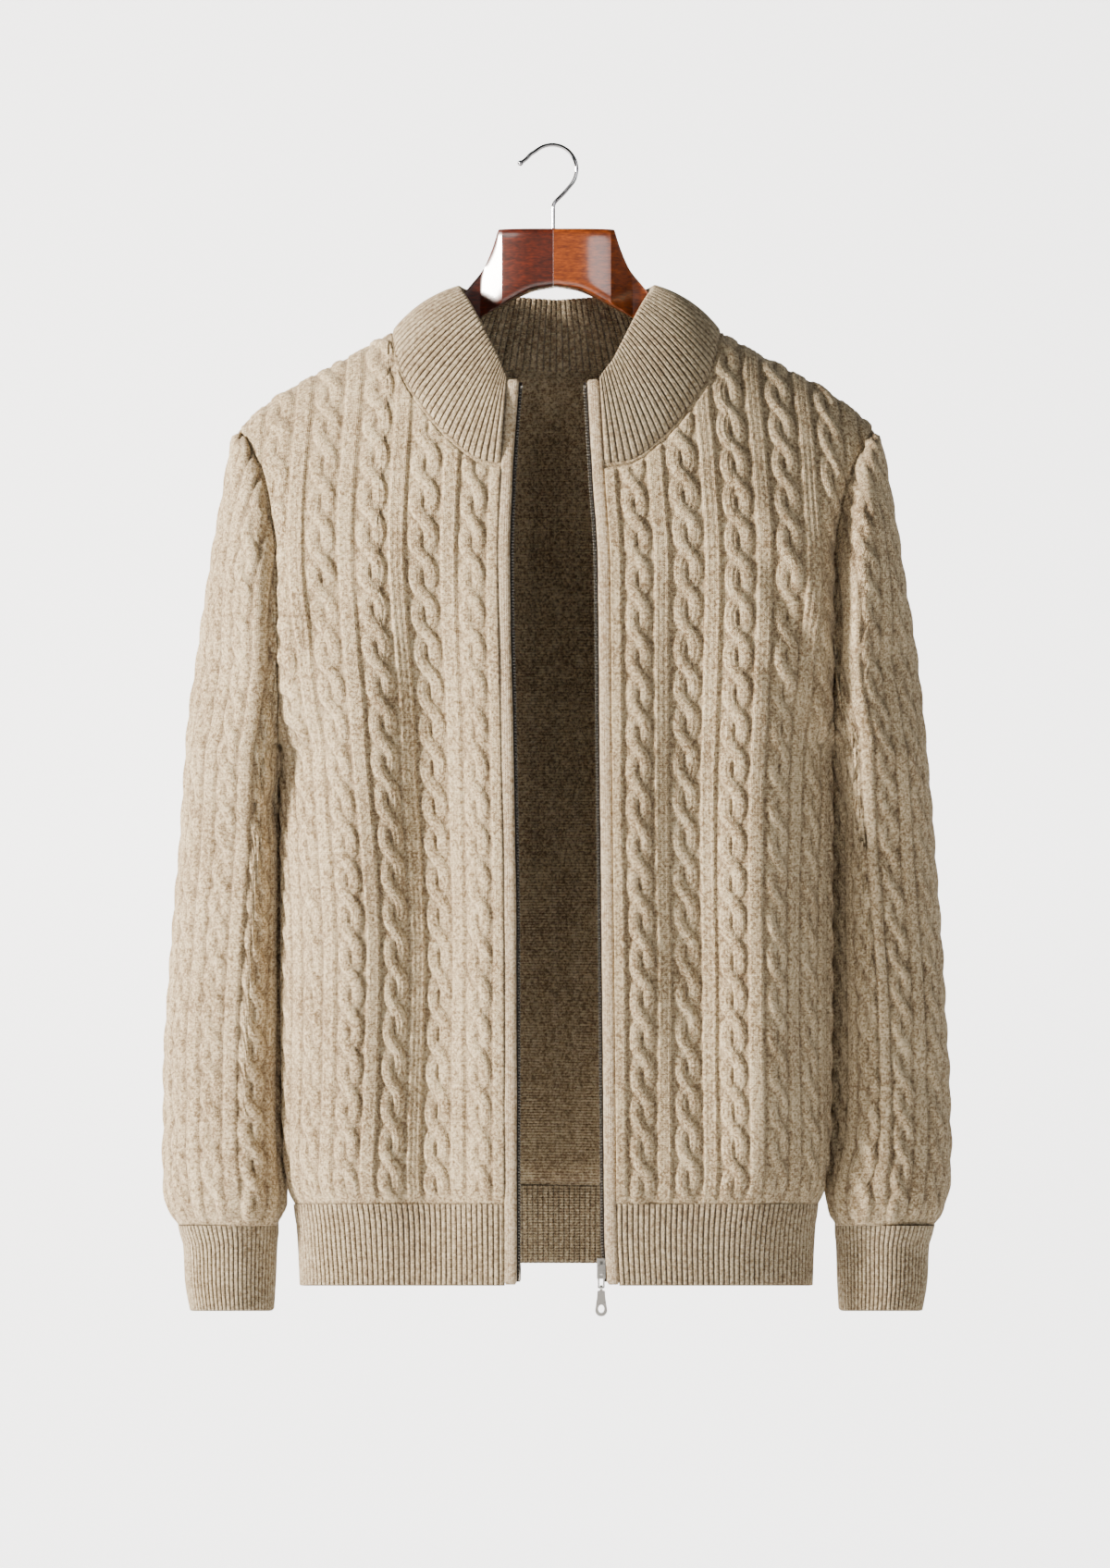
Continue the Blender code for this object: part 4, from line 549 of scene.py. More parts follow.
def clothMesh(name, outer, inner, outerMap, innerMap, rise, finish):
    # a closed wall from a fine grid of points outside and a coarser one inside, whose borders are joined
    form = bmesh.new()
    rows, columns = outer.shape[:2]
    fewRows, fewColumns = inner.shape[:2]
    step = (rows - 1) // (fewRows - 1)
    bmesh.ops.create_grid(form, x_segments=columns - 1, y_segments=rows - 1, size=1)
    bmesh.ops.create_grid(form, x_segments=fewColumns - 1, y_segments=fewRows - 1, size=1)
    form.verts.ensure_lookup_table()
    form.faces.ensure_lookup_table()
    first = rows * columns
    bmesh.ops.reverse_faces(form, faces=form.faces[(rows - 1) * (columns - 1):])
    for vert, point in zip(form.verts, np.concatenate([outer.reshape(-1, 3), inner.reshape(-1, 3)])):
        vert.co = point
    fine = [(0, c) for c in range(columns)] + [(r, columns - 1) for r in range(1, rows)]
    fine += [(rows - 1, c) for c in range(columns - 2, -1, -1)] + [(r, 0) for r in range(rows - 2, 0, -1)]
    edgeLoop = [form.verts[r * columns + c] for r, c in fine]
    few = [(0, c) for c in range(fewColumns)] + [(r, fewColumns - 1) for r in range(1, fewRows)]
    few += [(fewRows - 1, c) for c in range(fewColumns - 2, -1, -1)] + [(r, 0) for r in range(fewRows - 2, 0, -1)]
    innerLoop = [form.verts[first + r * fewColumns + c] for r, c in few]
    for i, corner in enumerate(innerLoop):
        following = innerLoop[(i + 1) % len(innerLoop)]
        stretch = [edgeLoop[(i * step + k) % len(edgeLoop)] for k in range(step + 1)]
        form.faces.new([corner, following] + stretch[::-1])
    mapLayer = form.loops.layers.uv.new("knit")
    places = np.concatenate([outerMap.reshape(-1, 2), innerMap.reshape(-1, 2)])
    for vert, place in zip(form.verts, places):
        for loop in vert.link_loops:
            loop[mapLayer].uv = place
    # rise sets the wool's painted shade, strongest where rise is low; the inside is given none and marked as inside
    riseLayer = form.verts.layers.float.new("rise")
    inside = form.verts.layers.float.new("inside")
    heights = np.concatenate([rise.reshape(-1), np.zeros(fewRows * fewColumns)])
    for i, (vert, height) in enumerate(zip(form.verts, heights)):
        vert[riseLayer] = height
        vert[inside] = 1.0 if i >= first else 0.0
    if form.calc_volume(signed=True) < 0:
        bmesh.ops.reverse_faces(form, faces=form.faces)
    return addPiece(name, form, finish)


def gridNormals(points, outward):
    # unit normals of a grid of points, turned to the side that outward points to
    across = np.gradient(points, axis=1)
    up = np.gradient(points, axis=0)
    normals = unitRows(np.cross(across, up))
    way = np.sign((normals * outward).sum(axis=-1, keepdims=True))
    return normals * np.where(way == 0, 1, way)


def evenColumns(points, extra, count):
    # spaces each column of a grid evenly along its length; extra arrays go with it
    out = np.zeros((count, points.shape[1], 3))
    others = [np.zeros((count, points.shape[1])) for _ in extra]
    lengths = np.zeros((count, points.shape[1]))
    for c in range(points.shape[1]):
        run = lengthAlong(points[:, c])
        spots = np.linspace(0, run[-1], count)
        for axis in range(3):
            out[:, c, axis] = np.interp(spots, run, points[:, c, axis])
        for target, source in zip(others, extra):
            target[:, c] = np.interp(spots, run, source[:, c])
        lengths[:, c] = spots
    return out, others, lengths


frontPanel = {"columnStep": 0.00125, "rowStep": 0.0017, "wall": 0.0028, "fanFrom": 0.135, "insideStep": 8,
              "seam": 0.0011, "knitLength": 0.60, "firstCable": 0.0190, "uneven": 0.0008}
backPanel = dict(frontPanel, columnStep=0.0017, rowStep=0.0021, fanFrom=0.145, firstCable=0.0)


def evenCount(length, step, block):
    # number of points for a spacing, so that the coarse inside fits
    return int(round(length / (step * coarse) / block)) * block + 1


def halfPanel(panel, sizes):
    # base surface of one half of the body in knitted columns, from the hem to the neck, shoulder and armhole
    table = panel["table"]
    levels = table["heights"]
    starts = panelStart(panel, levels)
    sides = table["end"] - starts
    above = levels > body["underarm"]
    armX = readRows(armholeRows, "z", "x", np.minimum(levels, body["shoulderLevel"]))
    reach = np.array([tableLength(table, x, min(z, body["straightAbove"])) for x, z in zip(armX, levels)])
    sides = np.where(above, np.minimum(reach - starts, sides), sides)
    gatherSide = float(np.interp(-body["gather"], -levels, sides))
    gathers = np.where(levels < body["gather"], sides / gatherSide, 1.0)
    whole = float(np.interp(-body["chest"], -levels, sides))
    fan = sizes["fanFrom"]

    def lengthAt(k, z):
        gather = np.interp(-z, -levels, gathers)
        side = np.interp(-z, -levels, sides)
        beyond = fan * gather + (k - fan) / (whole - fan) * (side - fan * gather)
        return np.interp(-z, -levels, starts) + np.where(k <= fan, k * gather, beyond)

    def xAt(k, z):
        return readTable(table, "x", lengthAt(k, z), np.minimum(z, body["straightAbove"]))

    neckRows = frontNeckRows if panel["facing"] < 0 else backNeckRows

    def topOf(knit):
        top = np.full(knit.shape, body["topGuess"])
        for _ in range(12):  # a few rounds settle on the height where each column meets the neck or shoulder
            x = xAt(knit, top)
            neck = readRows(neckRows, "x", "z", x)
            top = np.where(x < body["neckPoint"], neck, readRows(shoulderRows, "x", "z", x))
        top[-1] = body["shoulderLevel"]
        return top

    # columns stand closer where the top edge is steep, beside the neck
    even = np.linspace(0, whole, 800)
    run = lengthAlong(np.column_stack([even, topOf(even)]))
    count = evenCount(run[-1], sizes["columnStep"] * 1.12, sizes["insideStep"])
    knit = np.interp(np.linspace(0, run[-1], count), run, even)
    top = topOf(knit)
    share = np.linspace(0, 1, 260)[:, None]
    near = top - body["shoulderFall"] * (1 - np.sin(np.linspace(0, math.pi / 2, 160)))[:, None]
    z = np.concatenate([body["hemSeam"] + (near[0] - body["hemSeam"]) * share[:-1], near])
    k = np.broadcast_to(knit, z.shape)
    x = xAt(k, z)
    y = np.where(z <= body["straightAbove"], readTable(table, "y", lengthAt(k, z), z),
                 bodyDepth(panel["side"] * x, z, panel["facing"]))
    y = np.maximum(y, 0)
    y[:, -1] = np.where(z[:, -1] <= body["underarm"], 0, y[:, -1])
    points = np.stack([panel["side"] * x, panel["facing"] * y, z], axis=-1)
    along = (lengthAt(k, z) - np.interp(-z, -levels, starts)) / np.interp(-z, -levels, gathers)
    # the columns lean outward over the chest and hang straight below
    lean = cable["splay"] * smoothRamp(z, cable["leanFrom"], cable["leanBy"])
    splay = lean * np.maximum(along - cable["splayFrom"], 0)
    edge = np.interp(-z, -levels, sides) - lengthAt(k, z) + np.interp(-z, -levels, starts)
    count = evenCount(sizes["knitLength"], sizes["rowStep"], sizes["insideStep"])
    points, others, up = evenColumns(points, [along - splay, edge], count)
    return points, others[0], up, others[1]


def knitCloth(name, panel, base, toward, across, up, edge, sizes, finish):
    # adds cables and seams to a base surface and closes it with an inside
    normals = gridNormals(base, toward)
    relief = knitRelief(panel, across, up)
    relief = relief * smoothRamp(edge, 0, cable["edgeFade"]) * smoothRamp(up, *cable["hemFade"])
    seam = -sizes["seam"] * np.exp(-(edge / cable["seamWidth"]) ** 2)
    seam = seam - cable["hemSeam"] * np.exp(-(up / cable["hemSeamWidth"]) ** 2)
    outer = realHeight(base + normals * (relief + seam)[..., None])
    step = sizes["insideStep"]
    inner = realHeight((base - normals * sizes["wall"])[::step, ::step])
    places = np.stack([across, up], axis=-1)
    # painted shade: the low places of the relief darken the wool's colour through this
    clear = paintedShadeRise(relief + seam, sizes["columnStep"])
    return clothMesh(name, outer, inner, places, places[::step, ::step], clear, finish)


def finishPanel(name, panel, points, across, up, fades, sizes, finish):
    # adds the armhole's tuck and soft folds to a front or back, then knits it
    creases = frontCreases if panel["facing"] < 0 else backCreases
    points = points.copy()
    points[..., 1] -= panel["facing"] * armTuck(fades["side"], points)
    toward = np.stack([0.4 * points[..., 0], points[..., 1] + panel["facing"] * 0.01,
                       np.full(up.shape, 0.02)], axis=-1)
    normals = gridNormals(points, toward)
    quiet = smoothRamp(fades["side"], 0, body["quiet"]) * smoothRamp(fades["top"], 0, body["quiet"])
    soft = creaseRise(creases, points[..., 0], points[..., 2]) * quiet
    soft = soft + sizes["uneven"] * wobble(points[..., 0], points[..., 2], panel["seed"] + 20, 0.045) * quiet
    base = points + normals * soft[..., None]
    edge = np.minimum(fades["side"], fades["top"])
    return knitCloth(name, panel, base, toward, across, up, edge, sizes, finish)


def makeFront(name, side, band, seed, finish):
    panel = {"side": side, "facing": -1, "band": band, "table": sectionTable(-1, side), "lean": side, "seed": seed,
             "pitch": cable["pitch"], "firstCable": frontPanel["firstCable"]}
    points, across, up, edge = halfPanel(panel, frontPanel)
    fades = {"side": edge, "top": up[-1] - up}
    return finishPanel(name, panel, points, across, up, fades, frontPanel, finish)


def makeBack(name, seed, finish):
    halves = []
    for side in (-1, 1):
        panel = {"side": side, "facing": 1, "band": None, "table": sectionTable(1, side)}
        halves.append(halfPanel(panel, backPanel))
    left, right = halves
    points = np.concatenate([left[0][:, :0:-1], right[0]], axis=1)
    across = np.concatenate([-left[1][:, :0:-1], right[1]], axis=1)
    up = np.concatenate([left[2][:, :0:-1], right[2]], axis=1)
    edge = np.concatenate([left[3][:, :0:-1], right[3]], axis=1)
    fades = {"side": edge, "top": up[-1] - up}
    panel = {"facing": 1, "lean": -1, "seed": seed, "pitch": cable["pitch"], "firstCable": backPanel["firstCable"]}
    return finishPanel(name, panel, points, across, up, fades, backPanel, finish)


sleeve = {
    "columnStep": 0.0016, "rowStep": 0.0020, "wall": 0.0028, "fanFrom": 0.085, "insideStep": 8, "samples": 240,
    "gatherWave": 0.0210, "gatherRise": 0.0011, "ridge": 0.33, "seam": 0.0009, "knitLength": 0.54,
    "sectionReach": 0.24, "levels": (81, 310), "puckerFrom": (0.001, 0.008), "puckerTo": (0.012, 0.040),
    "uneven": 0.0009, "ridgeRamp": (0.24, 0.46),
}
sleeveCreases = {
    -1: asTable(
        "from to width rise",
        ((-0.150, -0.440), (-0.060, -0.520), 0.010, -0.0034),
        ((0.140, -0.450), (0.050, -0.505), 0.011, -0.0030),
        ((-0.020, -0.300), (-0.035, -0.520), 0.014, 0.0018),
        ((0.050, -0.330), (0.062, -0.600), 0.012, -0.0022),
        ((-0.080, -0.600), (-0.020, -0.660), 0.009, -0.0024),
        ((0.075, -0.650), (0.010, -0.705), 0.009, -0.0022),
        ((0.045, -0.590), (0.040, -0.740), 0.011, 0.0016)),
    1: asTable(
        "from to width rise",
        ((-0.145, -0.450), (-0.055, -0.515), 0.010, -0.0032),
        ((0.150, -0.445), (0.070, -0.530), 0.010, -0.0034),
        ((-0.052, -0.320), (-0.066, -0.610), 0.012, -0.0026),
        ((0.015, -0.360), (0.030, -0.560), 0.013, 0.0018),
        ((-0.070, -0.640), (-0.010, -0.690), 0.009, -0.0024),
        ((0.080, -0.610), (0.025, -0.655), 0.009, -0.0020),
        ((-0.030, -0.600), (-0.036, -0.745), 0.011, 0.0016)),
}


def sleeveSection(z):
    # half of a sleeve's section from its outer line to its seam, and a little past it
    outer, inner, depth = [float(readRows(sleeveRows, "z", key, z)) for key in ("outer", "inner", "depth")]
    if z > body["underarm"]:
        seamX = float(readRows(armholeRows, "z", "x", z))
        seamY = float(bodyDepth(seamX, z, -1))
        depth = max(depth, 1.03 * seamY)
        sine = seamY / depth
        half = max(outer - seamX, 0.0002) / (1 + math.sqrt(1 - sine * sine))
        turn = math.pi - math.asin(sine)
    else:
        half = (outer - inner) / 2
        turn = math.pi
    angle = np.concatenate([np.linspace(0, turn, sleeve["samples"]), turn + np.linspace(0.01, 0.2, 12)])
    # the front and back ridges lie nearer the body than the middle
    ridge = sleeve["ridge"] * half * smoothRamp(-z, *sleeve["ridgeRamp"])
    shift = ridge * np.sin(np.minimum(angle / turn, 1) * math.pi) ** 2
    x = outer - half + half * np.cos(angle) - shift
    y = depth * np.sin(angle)
    run = lengthAlong(np.column_stack([x, y]))
    return x, y, run, run[sleeve["samples"] - 1]


def sleeveTable():
    # a sleeve's sections by height, in the same form as the body's
    lengths = np.arange(0, sleeve["sectionReach"], body["lengthStep"])
    heights = -np.arange(*sleeve["levels"]) * body["levelStep"]
    sections = [sleeveSection(min(z, body["shoulderLevel"] - 0.0001)) for z in heights]
    xs = np.array([np.interp(lengths, run, x) for x, _, run, _ in sections])
    ys = np.array([np.interp(lengths, run, y) for _, y, run, _ in sections])
    return {"lengths": lengths, "heights": heights, "x": xs, "y": ys,
            "end": np.array([section[3] for section in sections])}


def makeSleeve(name, side, seed, table, finish):
    # one cloth round the arm, from the cuff to a cap that follows the armhole, gathered above the cuff
    ends = table["end"]
    levels = table["heights"]
    whole = float(np.interp(-body["underarm"], -levels, ends))
    gatherEnd = float(np.interp(-body["gather"], -levels, ends))
    gathers = np.where(levels < body["gather"], ends / gatherEnd, 1.0)
    capLevels = np.linspace(body["shoulderLevel"], body["underarm"], 200)
    capEnds = np.maximum.accumulate(np.interp(-capLevels, -levels, ends))
    capEnds[0] = 0
    fan = sleeve["fanFrom"]
    knit = np.linspace(-whole, whole, evenCount(2 * whole, sleeve["columnStep"], sleeve["insideStep"]))
    size = np.abs(knit)
    top = np.interp(size, capEnds, capLevels)
    rise = np.sin(np.linspace(0, math.pi / 2, 300))[:, None]
    z = body["cuffSeam"] + (top - body["cuffSeam"]) * rise
    gather = np.interp(-z, -levels, gathers)
    end = np.interp(-z, -levels, ends)
    beyond = fan * gather + (size - fan) / (whole - fan) * (end - fan * gather)
    below = np.where(size <= fan, size * gather, beyond)
    length = np.where(z > body["underarm"], np.minimum(size, end), below)
    x = readTable(table, "x", length, z)
    y = readTable(table, "y", length, z) * np.sign(knit) * side
    points = np.stack([side * x, y + readRows(sleeveRows, "z", "back", z), z], axis=-1)
    count = evenCount(sleeve["knitLength"], sleeve["rowStep"], sleeve["insideStep"])
    points, _, up = evenColumns(points, [], count)
    across = np.broadcast_to(knit, up.shape)
    seamEnd = np.where(points[..., 2] > body["underarm"], np.interp(-points[..., 2], -levels, ends), whole)
    away = seamEnd - np.abs(across)
    half = np.sign(across) * side
    points[..., 0] += side * sleeveGap(away, points) * (half < 0)
    points[..., 1] -= half * armTuck(away, points)
    centre = 0.5 * (readRows(sleeveRows, "z", "outer", points[..., 2])
                    + readRows(sleeveRows, "z", "inner", points[..., 2]))
    toward = np.stack([points[..., 0] - side * centre, points[..., 1], np.full(up.shape, 0.004)], axis=-1)
    normals = gridNormals(points, toward)
    edge = np.minimum(whole - np.abs(across), up[-1] - up)
    quiet = smoothRamp(edge, 0, body["quiet"])
    soft = creaseRise(sleeveCreases[side], across, points[..., 2]) * quiet
    soft = soft + sleeve["uneven"] * wobble(across, points[..., 2], seed + 20, 0.04) * quiet
    ripple = across / sleeve["gatherWave"] * 2 * math.pi + 2 * wobble(across, up, seed, 0.08)
    puckers = sleeve["gatherRise"] * np.cos(ripple)
    soft = soft + puckers * smoothRamp(up, *sleeve["puckerFrom"]) * (1 - smoothRamp(up, *sleeve["puckerTo"]))
    base = points + normals * soft[..., None]
    panel = {"lean": 1, "seed": seed, "pitch": cable["sleevePitch"], "firstCable": 0.0}
    return knitCloth(name, panel, base, toward, across, up, edge, sleeve, finish)


def sweptMesh(name, rings, maps, finish, rise=None, inside=None, looped=False, sharp=65):
    # rings: a grid of points, one closed section a row; looped also joins the last row to the first
    count, around = rings.shape[:2]
    rows = list(range(count)) + ([0] if looped else [])
    turns = list(range(around)) + [0]
    form = bmesh.new()
    bmesh.ops.create_grid(form, x_segments=around, y_segments=len(rows) - 1, size=1)
    places = rings[rows][:, turns].reshape(-1, 3)
    for vert, point in zip(form.verts, places):
        vert.co = point
    form.verts.index_update()
    spots = maps.reshape(-1, 2)
    mapLayer = form.loops.layers.uv.new("knit")
    for face in form.faces:
        for loop in face.loops:
            loop[mapLayer].uv = spots[loop.vert.index]
    # rise and inside set the painted shade of the wool materials: places with low rise are darkened
    for key, values in (("rise", rise), ("inside", inside)):
        layer = form.verts.layers.float.new(key)
        if values is not None:
            for vert, value in zip(form.verts, values[rows][:, turns].reshape(-1)):
                vert[layer] = value
    bmesh.ops.remove_doubles(form, verts=form.verts, dist=1e-7)
    if not looped:
        openEdges = [edge for edge in form.edges if edge.is_boundary]
        bmesh.ops.holes_fill(form, edges=openEdges, sides=0)
    if form.calc_volume(signed=True) < 0:
        bmesh.ops.reverse_faces(form, faces=form.faces)
    return addPiece(name, form, finish, sharp)


def ribWave(across, pitch):
    # one rounded rib a pitch, with a narrow deep furrow between, and a dip along its own middle
    q = 2 * np.mod(across / pitch, 1.0) - 1
    return np.clip(1.02 - np.abs(q) ** 2.3, 0, 1) ** 0.75 - 0.20 * np.exp(-(q / 0.22) ** 2)


def wallSection(rowCount, arcCount):
    # a closed section of a wall as (share of height, share of thickness): up outside, over the top, down inside
    up = [(h, 1.0) for h in np.linspace(0.0, 1.0, rowCount)]
    over = [(1.0 + 0.5 * math.sin(a), math.cos(a)) for a in np.linspace(0, math.pi, arcCount)[1:-1]]
    down = [(h, -1.0) for h in np.linspace(1.0, 0.0, rowCount)]
    return up + over + down


def ribMarks(wave, section):
    # for each point of a ribbed wall, how far it stands clear and whether it's on the inside, which set the painted
    # shade of its furrows
    heights = np.repeat(unshadedRise * np.clip(wave * 1.25 - 0.05, 0, 1)[:, None], len(section), 1)
    insides = np.repeat(np.array([[1.0 if t < 0 else 0.0 for _, t in section]]), len(wave), 0)
    return heights, insides


collar = {"ribPitch": 0.0050, "ribRise": 0.0018, "wall": 0.0034, "bulge": 0.0050, "rows": 15, "perRib": 8, "over": 6,
          "height": 0.075, "seamDip": 0.0012, "uneven": 0.0008, "endReach": 0.12, "evenLine": 12, "evenFace": 60}


def neckHalf(band):
    # half of the neckline as if on the right, from its band over the shoulder to the middle of the back
    start = float(readRows(bandRows, "z", band, body["neckStart"])) + body["bandWidth"]
    turn = np.linspace(0, math.pi / 2, 160)
    frontX = start + (body["neckPoint"] - start) * np.sin(turn)
    backX = body["neckPoint"] * np.cos(turn[1:])
    frontZ = readRows(frontNeckRows, "x", "z", frontX)
    backZ = readRows(backNeckRows, "x", "z", backX)
    front = np.stack([frontX, -bodyDepth(frontX, frontZ, -1), frontZ], axis=-1)
    back = np.stack([backX, bodyDepth(backX, backZ, 1), backZ], axis=-1)
    points = np.concatenate([front, back])
    run = lengthAlong(points)
    return points, run / run[-1], run[-1]


def smoothed(values, times):
    for _ in range(times):
        values[1:-1] = (values[:-2] + 2 * values[1:-1] + values[2:]) / 4
    return values


def makeCollar(name, finish):
    # a standing ribbed wall on the neckline, with ribs that run up and over its rounded top
    bases, tops, lengths = [], [], []
    for side, band in ((-1, "left"), (1, "right")):
        points, share, length = neckHalf(band)
        ribs = int(round(length / collar["ribPitch"]))
        spots = np.linspace(0, 1, int(ribs * collar["perRib"] / coarse) + 1)
        base = np.stack([np.interp(spots, share, points[:, i]) for i in range(3)], axis=-1)
        top = np.stack([readRows(collarTopRows, "share", axis, spots) for axis in "xyz"], axis=-1)
        reach = float(readRows(bandRows, "z", band, body["bandTop"])) + body["bandWidth"]
        top[:, 0] += (reach - top[0, 0]) * (1 - smoothRamp(spots, 0, collar["endReach"]))
        mirror = np.array([side, 1, 1])
        bases.append(base * mirror)
        tops.append(top * mirror)
        lengths.append(spots * ribs)
    base = np.concatenate([bases[0], bases[1][-2::-1]])
    top = np.concatenate([tops[0], tops[1][-2::-1]])
    number = np.concatenate([lengths[0], lengths[0][-1] + (lengths[1][-1] - lengths[1][-2::-1])])
    base = smoothed(base, collar["evenLine"])
    way = unitRows(np.gradient(base, axis=0))
    rise = unitRows(top - base)
    face = unitRows(np.cross(way, rise))
    if face[len(base) // 2, 1] < 0:
        face = -face
    face[[0, -1], 0] = 0
    face = unitRows(smoothed(face, collar["evenFace"]))
    section = wallSection(collar["rows"], collar["over"])
    wave = ribWave(number, 1.0)
    fromEnd = np.minimum(np.arange(len(base)), np.arange(len(base))[::-1])
    fade = smoothRamp(fromEnd / len(base), 0, 0.004)
    rings = np.zeros((len(base), len(section), 3))
    for i, (h, t) in enumerate(section):
        level = min(h, 1.0)
        past = max(h - 1.0, 0.0)
        swell = collar["bulge"] * 4 * level * (1 - level)
        full = smoothRamp(np.array(level), 0.0, 0.06) * 0.75 + 0.25
        ribbed = collar["ribRise"] * (wave * fade) * full
        out = t * (collar["wall"] / 2) - collar["wall"] / 2 + ribbed * t + swell
        out = out - (collar["seamDip"] * math.exp(-(level / 0.05) ** 2) if t > 0 else 0)
        lift = past * collar["wall"] * (0.75 + 0.35 * wave)
        uneven = collar["uneven"] * wobble(number * collar["ribPitch"], np.full(number.shape, level * 0.05), 31, 0.05)
        rings[:, i] = base + (top - base) * level + face * (out + uneven)[:, None] + rise * lift[:, None]
    rings = realHeight(rings)
    heights, insides = ribMarks(wave, section)
    columns = np.array([min(h, 1.0) if t > 0 else 2.0 - min(h, 1.0) for h, t in section] + [2.0])
    columns = columns * collar["height"]
    maps = np.stack(np.broadcast_arrays(number[:, None] * collar["ribPitch"], columns[None, :]), axis=-1)
    return sweptMesh(name, rings, maps, finish, rise=heights, inside=insides)


# both ribbed edges hang from a seam; a cuff has a set number of ribs all round
hem = {"ribPitch": 0.0039, "ribRise": 0.0017, "wall": 0.0028, "uneven": 0.0007, "rows": 9, "over": 5, "perRib": 7}


def ribbedRing(placeAt, number, seed, low, high, sizes, sharpEnds):
    # rings of a ribbed wall hanging down from a seam; placeAt gives points and outward directions at a height
    section = wallSection(sizes["rows"], sizes["over"])
    wave = ribWave(number, 1.0)
    rings = np.zeros((len(number), len(section), 3))
    for i, (h, t) in enumerate(section):
        level = min(h, 1.0)
        past = max(h - 1.0, 0.0)
        z = high + (low - high) * level
        points, outward = placeAt(z)
        full = 0.45 + 0.55 * smoothRamp(np.array(level), 0.0, 0.10)
        ribbed = sizes["ribRise"] * wave * full
        if sharpEnds:
            ends = np.minimum(np.arange(len(number)), np.arange(len(number))[::-1])
            ribbed = ribbed * smoothRamp(ends, 0, sizes["perRib"] / 2)
        out = t * sizes["wall"] / 2 - sizes["wall"] / 2 + ribbed * t
        out = out + sizes["uneven"] * wobble(number * sizes["ribPitch"], np.full(number.shape, z), seed, 0.045)
        rings[:, i] = points + outward * out[:, None]
        rings[:, i, 2] -= past * sizes["wall"] * 0.5
    heights, insides = ribMarks(wave, section)
    columns = np.array([h if t > 0 else 2.4 - h for h, t in section] + [2.4]) * (high - low)
    return realHeight(rings), columns, heights, insides


def makeHem(name, halves, seed, finish):
    # halves: one front panel, or the back's two sides
    parts = [dict(panel, table=sectionTable(panel["facing"], panel["side"])) for panel in halves]

    def span(part, z):
        # the lengths from the middle where a part begins and ends
        start = float(panelStart(part, np.array([z]))[0])
        return start, float(np.interp(-z, -part["table"]["heights"], part["table"]["end"]))

    total = sum(end - start for start, end in (span(part, body["hemSeam"]) for part in parts))
    ribs = int(round(total / hem["ribPitch"]))
    spots = np.linspace(0, 1, int(ribs * hem["perRib"] / coarse) + 1)
    number = spots * ribs

    def placeAt(z):
        start, end = span(parts[0], z)
        if len(parts) == 2:
            length = -end + spots * (end + span(parts[1], z)[1])
            shares = (length < 0, length >= 0)
        else:
            length = start + spots * (end - start)
            shares = (length >= 0,)
        points = []
        for part, chosen in zip(parts, shares):
            size = np.abs(length[chosen])
            level = np.full(size.shape, z)
            x = readTable(part["table"], "x", size, level) * part["side"]
            y = readTable(part["table"], "y", size, level) * part["facing"]
            points.append(np.stack([x, y, level], axis=-1))
        points = np.concatenate(points)
        way = unitRows(np.gradient(points, axis=0))
        outward = np.stack([way[:, 1], -way[:, 0], np.zeros(len(way))], axis=-1)
        toward = points * np.array([0.4, 1, 0])
        sign = np.sign((outward * toward).sum(axis=1).sum())
        return points, outward * sign

    rings, columns, heights, insides = ribbedRing(placeAt, number, seed, body["hemBottom"], body["hemSeam"], hem, True)
    maps = np.stack(np.broadcast_arrays(number[:, None] * hem["ribPitch"], columns[None, :]), axis=-1)
    return sweptMesh(name, rings, maps, finish, rise=heights, inside=insides)


cuff = dict(hem, ribPitch=0.0035, rows=10, ribs=62)


def makeCuff(name, side, seed, finish):
    count = int(cuff["ribs"] * cuff["perRib"] / coarse)
    spots = np.arange(count) / count
    number = spots * cuff["ribs"]

    def placeAt(z):
        keys = ("outer", "inner", "depth", "back")
        outer, inner, depth, back = [float(readRows(cuffRows, "z", key, z)) for key in keys]
        angle = np.linspace(0, 2 * math.pi, 721)
        loop = np.stack([(outer - inner) / 2 * np.cos(angle), depth * np.sin(angle)], axis=-1)
        run = lengthAlong(loop)
        turn = np.interp(spots * run[-1], run, angle)
        x = (outer + inner) / 2 + (outer - inner) / 2 * np.cos(turn)
        y = depth * np.sin(turn)
        outward = unitRows(np.stack([np.cos(turn) / (outer - inner) * 2, np.sin(turn) / depth,
                                     np.zeros(len(turn))], axis=-1))
        mirror = np.array([side, 1, 1])
        return np.stack([x, y + back, np.full(len(turn), z)], axis=-1) * mirror, outward * mirror

    rings, columns, heights, insides = ribbedRing(placeAt, number, seed, body["cuffBottom"], body["cuffSeam"],
                                                  cuff, False)
    width = np.append(number, cuff["ribs"])
    maps = np.stack(np.broadcast_arrays(width[:, None] * cuff["ribPitch"], columns[None, :]), axis=-1)
    return sweptMesh(name, rings, maps, finish, rise=heights, inside=insides, looped=True)


seamYarn = {"radius": 0.0016, "step": 0.004, "rise": 0.0009, "armSink": 0.0014, "sink": 0.0012, "lift": 0.0002}


